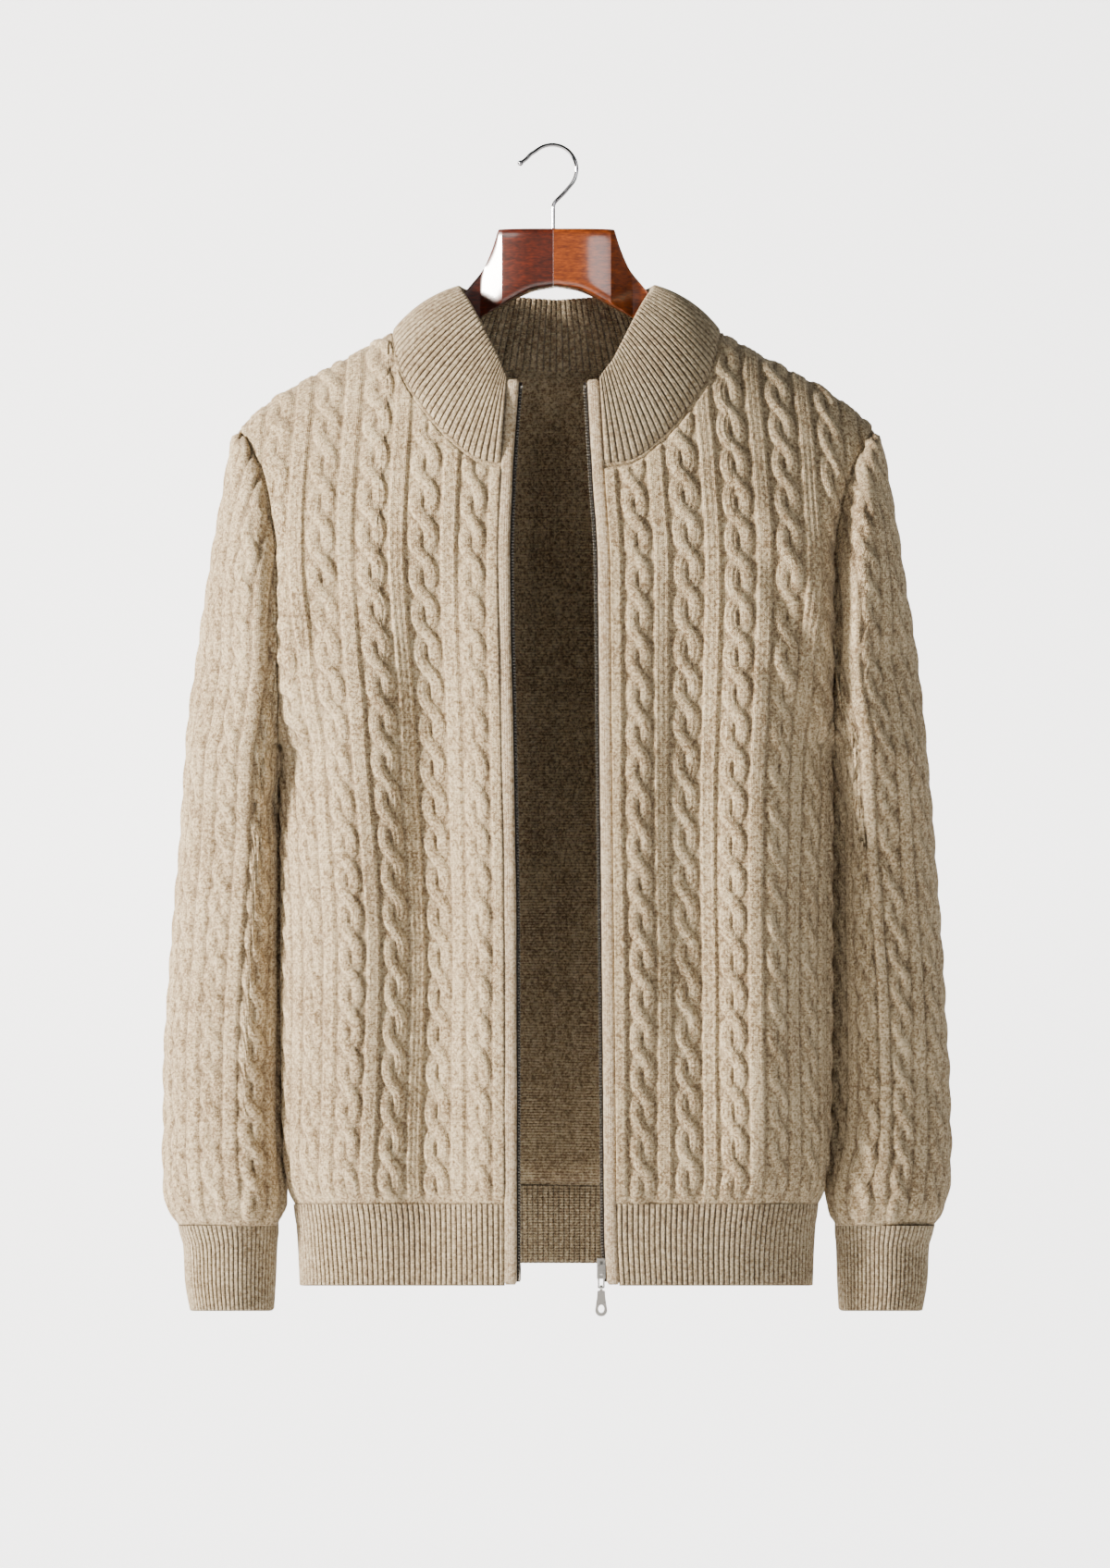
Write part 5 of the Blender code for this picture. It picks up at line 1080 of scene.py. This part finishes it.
def makeSeam(name, points, finish):
    # the chain of yarn that joins two edges, laid just under the surface
    run = lengthAlong(points)
    spots = np.linspace(0, run[-1], max(8, int(run[-1] / (seamYarn["step"] * coarse))))
    line = np.stack([np.interp(spots, run, points[:, i]) for i in range(3)], axis=-1)
    way = unitRows(np.gradient(line, axis=0))
    side = unitRows(np.cross(way, np.array([0.31, 0.17, 0.93])))
    other = np.cross(way, side)
    turn = np.linspace(0, 2 * math.pi, 8, endpoint=False)
    thick = seamYarn["radius"] * (1 + 0.08 * np.sin(spots * 900))
    rings = line[:, None] + thick[:, None, None] * (np.cos(turn)[None, :, None] * side[:, None]
                                                    + np.sin(turn)[None, :, None] * other[:, None])
    maps = np.stack(np.broadcast_arrays(np.linspace(0, 0.010, 9)[None, :], spots[:, None]), axis=-1)
    # painted shade: the seam yarn's low rise darkens its colour as if it lay in a groove
    heights = np.full(rings.shape[:2], seamYarn["rise"])
    return sweptMesh(name, realHeight(rings), maps, finish, rise=heights)


def neckSeam(name, finish):
    halves = []
    for side, band in ((-1, "left"), (1, "right")):
        points = neckHalf(band)[0]
        sunk = points - np.array([0, seamYarn["sink"], 0]) * np.sign(points[:, 1:2])
        halves.append((sunk + np.array([0, 0, seamYarn["lift"]])) * np.array([side, 1, 1]))
    return makeSeam(name, np.concatenate([halves[0], halves[1][-2::-1]]), finish)


def armSeam(name, side, finish):
    z = np.linspace(body["underarm"], body["shoulderLevel"], 120)
    x = readRows(armholeRows, "z", "x", z)
    front = np.stack([side * x, -bodyDepth(side * x, z, -1) + seamYarn["armSink"], z], axis=-1)
    back = np.stack([side * x, bodyDepth(side * x, z, 1) - seamYarn["armSink"], z], axis=-1)
    front[:, 1] += armTuck(0, front)
    back[:, 1] -= armTuck(0, back)
    back = back[::-1]
    return makeSeam(name, np.concatenate([front, back[1:]]), finish)


def shoulderSeam(name, side, finish):
    x = np.linspace(body["neckPoint"], body["shoulderTip"], 60)
    z = readRows(shoulderRows, "x", "z", x) - seamYarn["sink"]
    return makeSeam(name, np.stack([side * x, x * 0, z], axis=-1), finish)


band = {"half": 0.0043, "out": 0.0016, "in": 0.0033, "round": 2.6, "around": 26, "step": 0.0022, "end": 0.0022,
        "uneven": 0.045, "stitchUneven": 0.03, "rise": 0.0024}
tape = {"behind": 0.0040, "thick": 0.0011, "reach": 0.0024, "hidden": 0.0100, "step": 0.006, "chamfer": 0.0003}
teeth = {"pitch": 0.0022, "wide": 0.0021, "deep": 0.0019, "tall": 0.00125, "bevel": 0.00028, "past": 0.0019,
         "firstUp": 0.014, "lastDown": 0.006, "stopUp": 0.0024, "pinUp": 0.0085,
         "topStop": (0.0022, 0.0026, 0.0024), "endPin": (0.0021, 0.0024, 0.0120)}


def bandLine(side, z):
    # the middle of a front band at heights z, on the body and then up the collar's end
    which = "left" if side < 0 else "right"
    x = side * (readRows(bandRows, "z", which, z) + body["bandWidth"] / 2)
    onBody = -bodyDepth(x, np.minimum(z, body["neckStart"]), -1)
    low = -bodyDepth(x, np.full(np.shape(z), body["neckStart"]), -1)
    share = np.clip((z - body["neckStart"]) / (body["bandTop"] - body["neckStart"]), 0, 1)
    topY = readRows(collarTopRows, "share", "y", 0.0)
    y = np.where(z <= body["neckStart"], onBody, low + (topY - low) * share)
    return np.stack([x, y, z], axis=-1)


def makeBand(name, side, seed, finish):
    # a folded plain knit tube along a front edge, slightly uneven, closed round at both ends
    count = int((body["bandTop"] - body["hemBottom"]) / (band["step"] * coarse))
    z = np.linspace(body["hemBottom"], body["bandTop"], count)
    line = bandLine(side, z)
    turn = np.linspace(0, 2 * math.pi, band["around"], endpoint=False)
    power = 2 / band["round"]
    across = band["half"] * np.sign(np.cos(turn)) * np.abs(np.cos(turn)) ** power
    middle = (band["out"] - band["in"]) / 2
    deep = (band["out"] + band["in"]) / 2
    out = deep * np.sign(np.sin(turn)) * np.abs(np.sin(turn)) ** power
    fromEnd = np.minimum(z - z[0], z[-1] - z)
    fit = np.sqrt(np.clip(1 - (1 - np.clip(fromEnd / band["end"], 0, 1)) ** 2, 0.10, 1))
    full = 1 + band["uneven"] * wobble(z, z * 0, seed, 0.02)
    full = full + band["stitchUneven"] * wobble(z, z * 0, seed + 1, 0.006)
    rings = np.zeros((count, len(turn), 3))
    rings[..., 0] = line[:, 0:1] + side * across * (full * (0.55 + 0.45 * fit))[:, None]
    rings[..., 1] = line[:, 1:2] - middle - out * (full * fit)[:, None]
    rings[..., 2] = z[:, None]
    places = np.append(np.arange(len(turn)), len(turn)) * (2 * (band["half"] + deep) * 1.6 / len(turn))
    maps = np.stack(np.broadcast_arrays(places[None, :], (z - z[0])[:, None]), axis=-1)
    # painted shade: the band is darker on its sides and back than on its front
    heights = np.broadcast_to(band["rise"] * (0.35 + 0.65 * np.clip(np.sin(turn), 0, 1)), rings.shape[:2])
    return sweptMesh(name, realHeight(rings), maps, finish, rise=heights)


def makeTape(name, side, finish):
    low = body["hemBottom"] + band["end"]
    high = body["bandTop"] - band["end"]
    z = np.linspace(low, high, int((high - low) / tape["step"]))
    line = bandLine(side, z)
    left = -band["half"] - tape["reach"]
    right = tape["hidden"] - band["half"]
    cut = tape["chamfer"]
    corners = [(left, 0.0), (left + cut, -cut), (right, -cut), (right, -tape["thick"] + 0.0002),
               (left + cut, -tape["thick"] + 0.0002), (left, -tape["thick"] + 0.0004)]
    across = np.array([corner[0] for corner in corners])
    out = np.array([corner[1] for corner in corners]) - tape["behind"]
    rings = np.zeros((len(z), len(corners), 3))
    rings[..., 0] = line[:, 0:1] + side * across
    rings[..., 1] = line[:, 1:2] - out
    rings[..., 2] = z[:, None]
    places = np.append(across, across[0])
    maps = np.stack(np.broadcast_arrays(places[None, :], (z - z[0])[:, None]), axis=-1)
    return sweptMesh(name, realHeight(rings), maps, finish, sharp=30)


def addBlock(form, size, middle, bevel, segments=1):
    made = bmesh.ops.create_cube(form, size=1.0)
    bmesh.ops.scale(form, verts=made["verts"], vec=size)
    bmesh.ops.translate(form, verts=made["verts"], vec=middle)
    edges = list({edge for vert in made["verts"] for edge in vert.link_edges})
    bmesh.ops.bevel(form, geom=edges, offset=bevel, segments=segments, profile=0.5, affect="EDGES", material=-1)


def makeTeeth(name, side, finish):
    # one row of metal teeth along a tape's edge, with a stop above and, on the left, the end pin below
    spots = np.arange(body["hemBottom"] + teeth["firstUp"], body["bandTop"] - teeth["lastDown"], teeth["pitch"])
    line = realHeight(bandLine(side, spots))
    form = bmesh.new()
    out = side * (-band["half"] - teeth["past"])
    depth = tape["behind"] + tape["thick"] / 2
    for x, y, z in line:
        addBlock(form, (teeth["wide"], teeth["deep"], teeth["tall"]), (x + out, y + depth, z), teeth["bevel"])
    ends = np.array([spots[-1] + teeth["stopUp"], body["hemBottom"] + teeth["pinUp"]])
    high, low = realHeight(bandLine(side, ends))
    addBlock(form, teeth["topStop"], (high[0] + out, high[1] + depth, high[2]), 0.0006, 2)
    if side < 0:
        addBlock(form, teeth["endPin"], (low[0] + out, low[1] + depth, low[2]), 0.0007, 2)
    bmesh.ops.recalc_face_normals(form, faces=form.faces)
    return addPiece(name, form, finish, 35)


hanger = {"join": -0.0023, "gap": 0.00002, "facet": 0.0388, "turnAway": 0.62, "deepest": 0.0095, "around": 40,
          "bowFrom": 0.0140, "bow": 0.0035, "narrow": 0.064, "tip": 0.2120, "flatFrom": 0.070, "flatBy": 0.110}
armRows = asTable(
    "x top bottom half square",
    (0.0000, -0.0594, -0.1000, 0.0120, 8.0),
    (0.0150, -0.0594, -0.1022, 0.0120, 8.0),
    (0.0270, -0.0594, -0.1070, 0.0120, 8.0),
    (0.0410, -0.0596, -0.1142, 0.0120, 8.0),
    (0.0436, -0.0668, -0.1155, 0.0119, 7.0),
    (0.0460, -0.0737, -0.1168, 0.0118, 6.0),
    (0.0520, -0.0871, -0.1204, 0.0116, 4.5),
    (0.0610, -0.0985, -0.1262, 0.0114, 3.4),
    (0.0760, -0.1160, -0.1365, 0.0110, 2.6),
    (0.1000, -0.1340, -0.1530, 0.0105, 2.2),
    (0.1180, -0.1412, -0.1680, 0.0110, 2.0),
    (0.1500, -0.1567, -0.1890, 0.0138, 2.0),
    (0.1800, -0.1750, -0.2060, 0.0130, 2.0),
    (0.2000, -0.1885, -0.2130, 0.0105, 2.0),
    (0.2120, -0.1995, -0.2130, 0.0070, 2.0))
wire = {"thick": 0.0028, "ball": 0.0021, "radius": 0.0175, "centre": -0.0030, "stem": -0.0023}
hookTipRows = asTable("x up", (-0.0257, 0.0043), (-0.0236, 0.0057), (-0.0212, 0.0076), (-0.0184, 0.0108))
hookStemRows = asTable(
    "x z",
    (0.0094, -0.0284),
    (0.0060, -0.0325),
    (0.0022, -0.0363),
    (-0.0006, -0.0390),
    (-0.0018, -0.0406),
    (wire["stem"], -0.0428),
    (wire["stem"], -0.0500),
    (wire["stem"], -0.0592))


def makeArm(name, side, finish):
    # squared at the middle, rounder outwards, with a front facet that turns away beside the hook
    inner = hanger["join"] * side + hanger["gap"]
    near = [np.linspace(inner, hanger["facet"], 22), np.linspace(hanger["facet"], hanger["narrow"], 30)[1:]]
    far = hanger["narrow"] + (hanger["tip"] - hanger["narrow"]) * np.linspace(0, 1, 46)[1:]
    reach = np.concatenate(near + [far])
    x = np.maximum(reach, 0)
    top, bottom, half, square = [readRows(armRows, "x", key, x) for key in ("top", "bottom", "half", "square")]
    turn = np.linspace(0, 2 * math.pi, hanger["around"], endpoint=False) + math.pi / hanger["around"]
    away = np.minimum(np.maximum(x - hanger["facet"], 0) * hanger["turnAway"], hanger["deepest"])
    bow = hanger["bow"] * (np.clip(x - hanger["bowFrom"], 0, None) / (hanger["facet"] - hanger["bowFrom"])) ** 2
    away = (away + np.minimum(bow, hanger["bow"])) * (1 - smoothRamp(x, hanger["flatFrom"], hanger["flatBy"]))
    power = (2 / square)[:, None]
    cosine = np.cos(turn)[None, :]
    sine = np.sin(turn)[None, :]
    y = half[:, None] * np.sign(cosine) * np.abs(cosine) ** power
    front = np.clip(-y / half[:, None], 0, 1)
    z = (top + bottom)[:, None] / 2 + (top - bottom)[:, None] / 2 * np.sign(sine) * np.abs(sine) ** power
    rings = np.stack([np.broadcast_to(side * reach[:, None], y.shape), y + away[:, None] * front, z], axis=-1)
    maps = np.zeros((len(reach), len(turn) + 1, 2))
    return sweptMesh(name, rings, maps, finish, sharp=14)


def makeHook(name, finish):
    # wire bent round, down the stem and into the wood, with a ball at its tip
    centreZ = wire["thick"] / 2 - wire["radius"]
    spots = [(row["x"], centreZ + row["up"]) for row in hookTipRows]
    for degrees in range(135, -36, -10):
        angle = math.radians(degrees)
        spots.append((wire["centre"] + wire["radius"] * math.cos(angle), centreZ + wire["radius"] * math.sin(angle)))
    spots += [(row["x"], row["z"]) for row in hookStemRows]
    points = np.array([(x, 0.0, z) for x, z in spots])
    run = lengthAlong(points)
    even = np.linspace(0, run[-1], 110)
    line = smoothed(np.stack([np.interp(even, run, points[:, i]) for i in range(3)], axis=-1), 3)
    way = unitRows(np.gradient(line, axis=0))
    sideways = np.array([0.0, 1.0, 0.0])
    out = np.cross(way, sideways)
    turn = np.linspace(0, 2 * math.pi, 16, endpoint=False)
    rings = (line[:, None] + wire["thick"] / 2 * (np.cos(turn)[None, :, None] * out[:, None]
                                                  + np.sin(turn)[None, :, None] * sideways))
    maps = np.zeros((len(line), len(turn) + 1, 2))
    hook = sweptMesh(name, rings, maps, finish)
    form = bmesh.new()
    form.from_mesh(hook.data)
    ball = bmesh.ops.create_uvsphere(form, u_segments=20, v_segments=14, radius=wire["ball"])
    bmesh.ops.translate(form, verts=ball["verts"], vec=line[0])
    form.to_mesh(hook.data)
    form.free()
    hook.data.shade_smooth()
    return hook


# the furrow colour is the colour of the painted shade in the wool's low places
wool = {"light": "#EBDAB4", "mid": "#C3AE8A", "dark": "#846D50", "furrowShade": "#634E39", "wale": 0.0019, "course": 0.0015,
        "purl": 0.0021, "purlColumn": 0.0160, "bloom": "#E9DCC6"}


def woolKnit(name, tone, furrowShade):
    # carded wool, flat-bed knitted: dyed fibres mixed before spinning give a heathered oatmeal,
    # V stitches run up each column, and loose fibre gives a soft matt bloom
    material, tree, shader = newMaterial(name)
    knitMap = addNode(tree, "ShaderNodeUVMap", uv_map="knit").outputs["UV"]
    place = addNode(tree, "ShaderNodeTexCoord").outputs["Object"]
    split = addNode(tree, "ShaderNodeSeparateXYZ", {"Vector": knitMap})
    rise = addNode(tree, "ShaderNodeAttribute", attribute_name="rise").outputs["Fac"]
    within = addNode(tree, "ShaderNodeAttribute", attribute_name="inside").outputs["Fac"]

    def maths(operation, first, second=0.5, clamp=False):
        node = addNode(tree, "ShaderNodeMath", operation=operation, use_clamp=clamp)
        for index, value in enumerate((first, second)):
            if isinstance(value, (int, float)):
                node.inputs[index].default_value = value
            else:
                tree.links.new(value, node.inputs[index])
        return node.outputs[0]

    # V stitches: two leaning legs in each column, from the map in metres
    column = maths("MULTIPLY", split.outputs["X"], 1 / wool["wale"])
    leg = maths("ABSOLUTE", maths("SUBTRACT", maths("FRACT", column), 0.5))
    course = maths("ADD", maths("MULTIPLY", split.outputs["Y"], 1 / wool["course"]), maths("MULTIPLY", leg, -1.5))
    wave = maths("SINE", maths("MULTIPLY", course, 2 * math.pi))
    gap = maths("SINE", maths("MULTIPLY", leg, 2 * math.pi))
    stitch = maths("MULTIPLY", maths("ADD", maths("MULTIPLY", wave, 0.5), 0.5), gap)
    # the inside shows purl bumps, and each cable as a shallow column
    purl = maths("SINE", maths("MULTIPLY", split.outputs["Y"], 2 * math.pi / wool["purl"]))
    ribs = maths("SINE", maths("MULTIPLY", split.outputs["X"], 2 * math.pi / wool["purlColumn"]))
    purl = maths("ADD", maths("MULTIPLY", purl, 0.00035), maths("MULTIPLY", ribs, 0.0022))
    # fibres: fine streaks along the yarn and loose speckle
    speckle = addNode(tree, "ShaderNodeTexNoise", {"Vector": place}, {"Scale": 620.0, "Detail": 3.0, "Roughness": 0.7})
    flecks = addNode(tree, "ShaderNodeTexNoise", {"Vector": place},
                     {"Scale": 330.0, "Detail": 4.0, "Roughness": 0.7, "Distortion": 0.4})
    cloud = addNode(tree, "ShaderNodeTexNoise", {"Vector": place}, {"Scale": 26.0, "Detail": 3.0, "Roughness": 0.6})
    mix = maths("ADD", maths("MULTIPLY", speckle.outputs["Fac"], 0.50), maths("MULTIPLY", flecks.outputs["Fac"], 0.38))
    mix = maths("ADD", mix, maths("MULTIPLY", cloud.outputs["Fac"], 0.12))
    heather = addNode(tree, "ShaderNodeValToRGB", {"Fac": mix})
    ramp = heather.color_ramp
    ramp.elements[0].position = 0.43
    ramp.elements[0].color = linear(tone["dark"])
    ramp.elements[1].position = 0.58
    ramp.elements[1].color = linear(tone["light"])
    middle = ramp.elements.new(0.50)
    middle.color = linear(tone["mid"])
    # painted shade: furrows and other low places are darkened towards the furrow shade colour, less on the inside
    paintedShadeAt = addNode(tree, "ShaderNodeMapRange", {"Value": rise},
                       {"From Min": 0.0, "From Max": unshadedRise, "To Min": 1.0, "To Max": 0.0}, clamp=True)
    deep = maths("MULTIPLY", paintedShadeAt.outputs["Result"], maths("SUBTRACT", furrowShade, maths("MULTIPLY", within, 0.35)))
    # painted shade between the legs of the stitches
    hollow = maths("MULTIPLY", maths("SUBTRACT", 1.0, stitch), 0.24)
    deep = maths("ADD", deep, hollow, clamp=True)
    # inputs 6 and 7 and output 2 are this node's colours
    shaded = addNode(tree, "ShaderNodeMix", {"Factor": deep, 6: heather.outputs["Color"]}, {7: linear(tone["furrowShade"])},
                     data_type="RGBA", blend_type="MULTIPLY")
    tree.links.new(shaded.outputs[2], shader.inputs["Base Color"])
    # height of stitches and fibres
    fibre = addNode(tree, "ShaderNodeTexNoise", {"Vector": place}, {"Scale": 1500.0, "Detail": 2.0, "Roughness": 0.6})
    height = maths("ADD", maths("MULTIPLY", stitch, 0.00042), maths("MULTIPLY", fibre.outputs["Fac"], 0.00020))
    height = maths("ADD", height, maths("MULTIPLY", flecks.outputs["Fac"], 0.00025))
    height = maths("ADD", height, maths("MULTIPLY", purl, within))
    bump = addNode(tree, "ShaderNodeBump", {"Height": height}, {"Strength": 1.0, "Distance": 1.0})
    tree.links.new(bump.outputs["Normal"], shader.inputs["Normal"])
    setSockets(shader, {"Roughness": 0.92, "Specular IOR Level": 0.25, "Sheen Weight": 0.30, "Sheen Roughness": 0.55,
                        "Sheen Tint": linear(wool["bloom"])})
    return material


def wovenTape(name):
    # spun polyester, woven in a fine herringbone: dull and nearly black
    material, tree, shader = newMaterial(name)
    knitMap = addNode(tree, "ShaderNodeUVMap", uv_map="knit").outputs["UV"]
    weave = addNode(tree, "ShaderNodeTexWave", {"Vector": knitMap}, {"Scale": 500.0, "Distortion": 1.0},
                    wave_type="BANDS", bands_direction="DIAGONAL")
    colour = addNode(tree, "ShaderNodeValToRGB", {"Fac": weave.outputs["Fac"]})
    colour.color_ramp.elements[0].color = linear("#1D1916")
    colour.color_ramp.elements[1].color = linear("#3A332C")
    tree.links.new(colour.outputs["Color"], shader.inputs["Base Color"])
    bump = addNode(tree, "ShaderNodeBump", {"Height": weave.outputs["Fac"]}, {"Strength": 0.6, "Distance": 0.0002})
    tree.links.new(bump.outputs["Normal"], shader.inputs["Normal"])
    shader.inputs["Roughness"].default_value = 0.85
    return material


def platedMetal(name, colour, roughness, grain):
    # die-cast zinc, tumbled and nickel plated: bright, with faint handling marks
    material, tree, shader = newMaterial(name)
    place = addNode(tree, "ShaderNodeTexCoord").outputs["Object"]
    marks = addNode(tree, "ShaderNodeTexNoise", {"Vector": place}, {"Scale": grain, "Detail": 4.0})
    rough = addNode(tree, "ShaderNodeMapRange", {"Value": marks.outputs["Fac"]},
                    {"To Min": roughness * 0.7, "To Max": roughness * 1.5})
    tree.links.new(rough.outputs["Result"], shader.inputs["Roughness"])
    bump = addNode(tree, "ShaderNodeBump", {"Height": marks.outputs["Fac"]}, {"Strength": 0.15, "Distance": 0.0001})
    tree.links.new(bump.outputs["Normal"], shader.inputs["Normal"])
    shader.inputs["Base Color"].default_value = linear(colour)
    shader.inputs["Metallic"].default_value = 1.0
    return material


def lacqueredBeech(name, darkWood, lightWood, turn):
    # beech stained red-brown under poured gloss lacquer: straight grain with short flecks
    material, tree, shader = newMaterial(name)
    place = addNode(tree, "ShaderNodeTexCoord").outputs["Object"]
    laid = addNode(tree, "ShaderNodeMapping", {"Vector": place}, {"Scale": (1.0, 1.0, 7.0), "Rotation": (0, turn, 0)})
    grain = addNode(tree, "ShaderNodeTexNoise", {"Vector": laid.outputs["Vector"]},
                    {"Scale": 70.0, "Detail": 6.0, "Roughness": 0.6, "Distortion": 0.5})
    fleckMap = addNode(tree, "ShaderNodeMapping", {"Vector": place},
                       {"Scale": (260.0, 260.0, 900.0), "Rotation": (0, turn, 0)})
    flecks = addNode(tree, "ShaderNodeTexNoise", {"Vector": fleckMap.outputs["Vector"]}, {"Scale": 1.0, "Detail": 2.0})
    blend = addNode(tree, "ShaderNodeMath", {0: grain.outputs["Fac"], 1: flecks.outputs["Fac"]}, {2: 0.22},
                    operation="MULTIPLY_ADD")
    colour = addNode(tree, "ShaderNodeValToRGB", {"Fac": blend.outputs[0]})
    colour.color_ramp.elements[0].position = 0.34
    colour.color_ramp.elements[0].color = linear(darkWood)
    colour.color_ramp.elements[1].position = 0.62
    colour.color_ramp.elements[1].color = linear(lightWood)
    tree.links.new(colour.outputs["Color"], shader.inputs["Base Color"])
    setSockets(shader, {"Roughness": 0.38, "Coat Weight": 1.0, "Coat Roughness": 0.15, "Coat IOR": 1.52})
    return material


def makeMaterials():
    ribTone = dict(wool, light="#DFCFAE", mid="#BAA786", dark="#8A755A", furrowShade="#3D2E21")
    bandTone = dict(wool, light="#DDCDB0", mid="#C2AF90", dark="#957F62")
    return {
        # the last number is the strength of the painted shade in low places, strongest on the ribs
        "knit": woolKnit("carded wool, cable knit", wool, 0.58),
        "rib": woolKnit("carded wool, one by one rib", ribTone, 0.93),
        "band": woolKnit("carded wool, tubular plain knit", bandTone, 0.62),
        "tape": wovenTape("woven zip tape"),
        "teeth": platedMetal("zip teeth, nickel plated", "#A7A39B", 0.24, 900.0),
        "pull": platedMetal("zip slider, nickel plated zinc", "#CFCDC8", 0.27, 500.0),
        "woodLeft": lacqueredBeech("lacquered beech, left", "#260A04", "#5C1F09", 0.10),
        "woodRight": lacqueredBeech("lacquered beech, right", "#542108", "#95460F", -0.12),
        "chrome": platedMetal("chromed steel wire", "#B9B9BD", 0.10, 300.0),
    }


finishes = makeMaterials()
print("materials are mixed")


def buildGarment():
    pieces = []

    def keep(piece, node):
        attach(piece, "cardigan")
        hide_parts(node)
        pieces.append(piece)

    keep(makeFront("frontLeft", -1, "left", 11, finishes["knit"]), "front_left")
    keep(makeFront("frontRight", 1, "right", 12, finishes["knit"]), "front_right")
    print("fronts are knitted")
    keep(makeBack("backPanel", 13, finishes["knit"]), "back")
    print("back is knitted")
    table = sleeveTable()
    keep(makeSleeve("sleeveLeft", -1, 14, table, finishes["knit"]), "sleeve_left")
    keep(makeSleeve("sleeveRight", 1, 15, table, finishes["knit"]), "sleeve_right")
    print("sleeves are set in")
    keep(makeCollar("collarRib", finishes["rib"]), "collar")
    left = {"side": -1, "facing": -1, "band": "left"}
    right = {"side": 1, "facing": -1, "band": "right"}
    behind = [{"side": -1, "facing": 1, "band": None}, {"side": 1, "facing": 1, "band": None}]
    keep(makeHem("hemFrontLeft", [left], 21, finishes["rib"]), "hem_rib_front_left")
    keep(makeHem("hemFrontRight", [right], 22, finishes["rib"]), "hem_rib_front_right")
    keep(makeHem("hemBack", behind, 23, finishes["rib"]), "hem_rib_back")
    keep(makeCuff("cuffLeft", -1, 24, finishes["rib"]), "cuff_left")
    keep(makeCuff("cuffRight", 1, 25, finishes["rib"]), "cuff_right")
    print("collar, hem and cuffs are ribbed")
    seams = [neckSeam("neckSeam", finishes["knit"])]
    for name, side in (("Left", -1), ("Right", 1)):
        seams.append(armSeam("armSeam" + name, side, finishes["knit"]))
        seams.append(shoulderSeam("shoulderSeam" + name, side, finishes["knit"]))
    for seam in seams:
        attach(seam, "cardigan")
    print("seams are linked")
    keep(makeBand("bandLeft", -1, 26, finishes["band"]), "front_band_left")
    keep(makeBand("bandRight", 1, 27, finishes["band"]), "front_band_right")
    keep(makeTape("tapeLeft", -1, finishes["tape"]), "zip_tape_left")
    keep(makeTape("tapeRight", 1, finishes["tape"]), "zip_tape_right")
    for name, side in (("teethLeft", -1), ("teethRight", 1)):
        chain = makeTeeth(name, side, finishes["teeth"])
        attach(chain, "cardigan")
    print("zip is sewn in")
    keep(makeArm("armLeft", -1, finishes["woodLeft"]), "hanger_arm_left")
    keep(makeArm("armRight", 1, finishes["woodRight"]), "hanger_arm_right")
    keep(makeHook("hookWire", finishes["chrome"]), "hanger_hook")
    print("hanger is in")
    for node in ("zip_slider", "pull_link", "pull_tab"):
        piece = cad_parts[node]
        for spot in piece.material_slots:
            spot.material = finishes["pull"]
    return pieces


garment = buildGarment()
for piece in garment:
    print(piece.name, sum(len(face.vertices) - 2 for face in piece.data.polygons), "triangles")
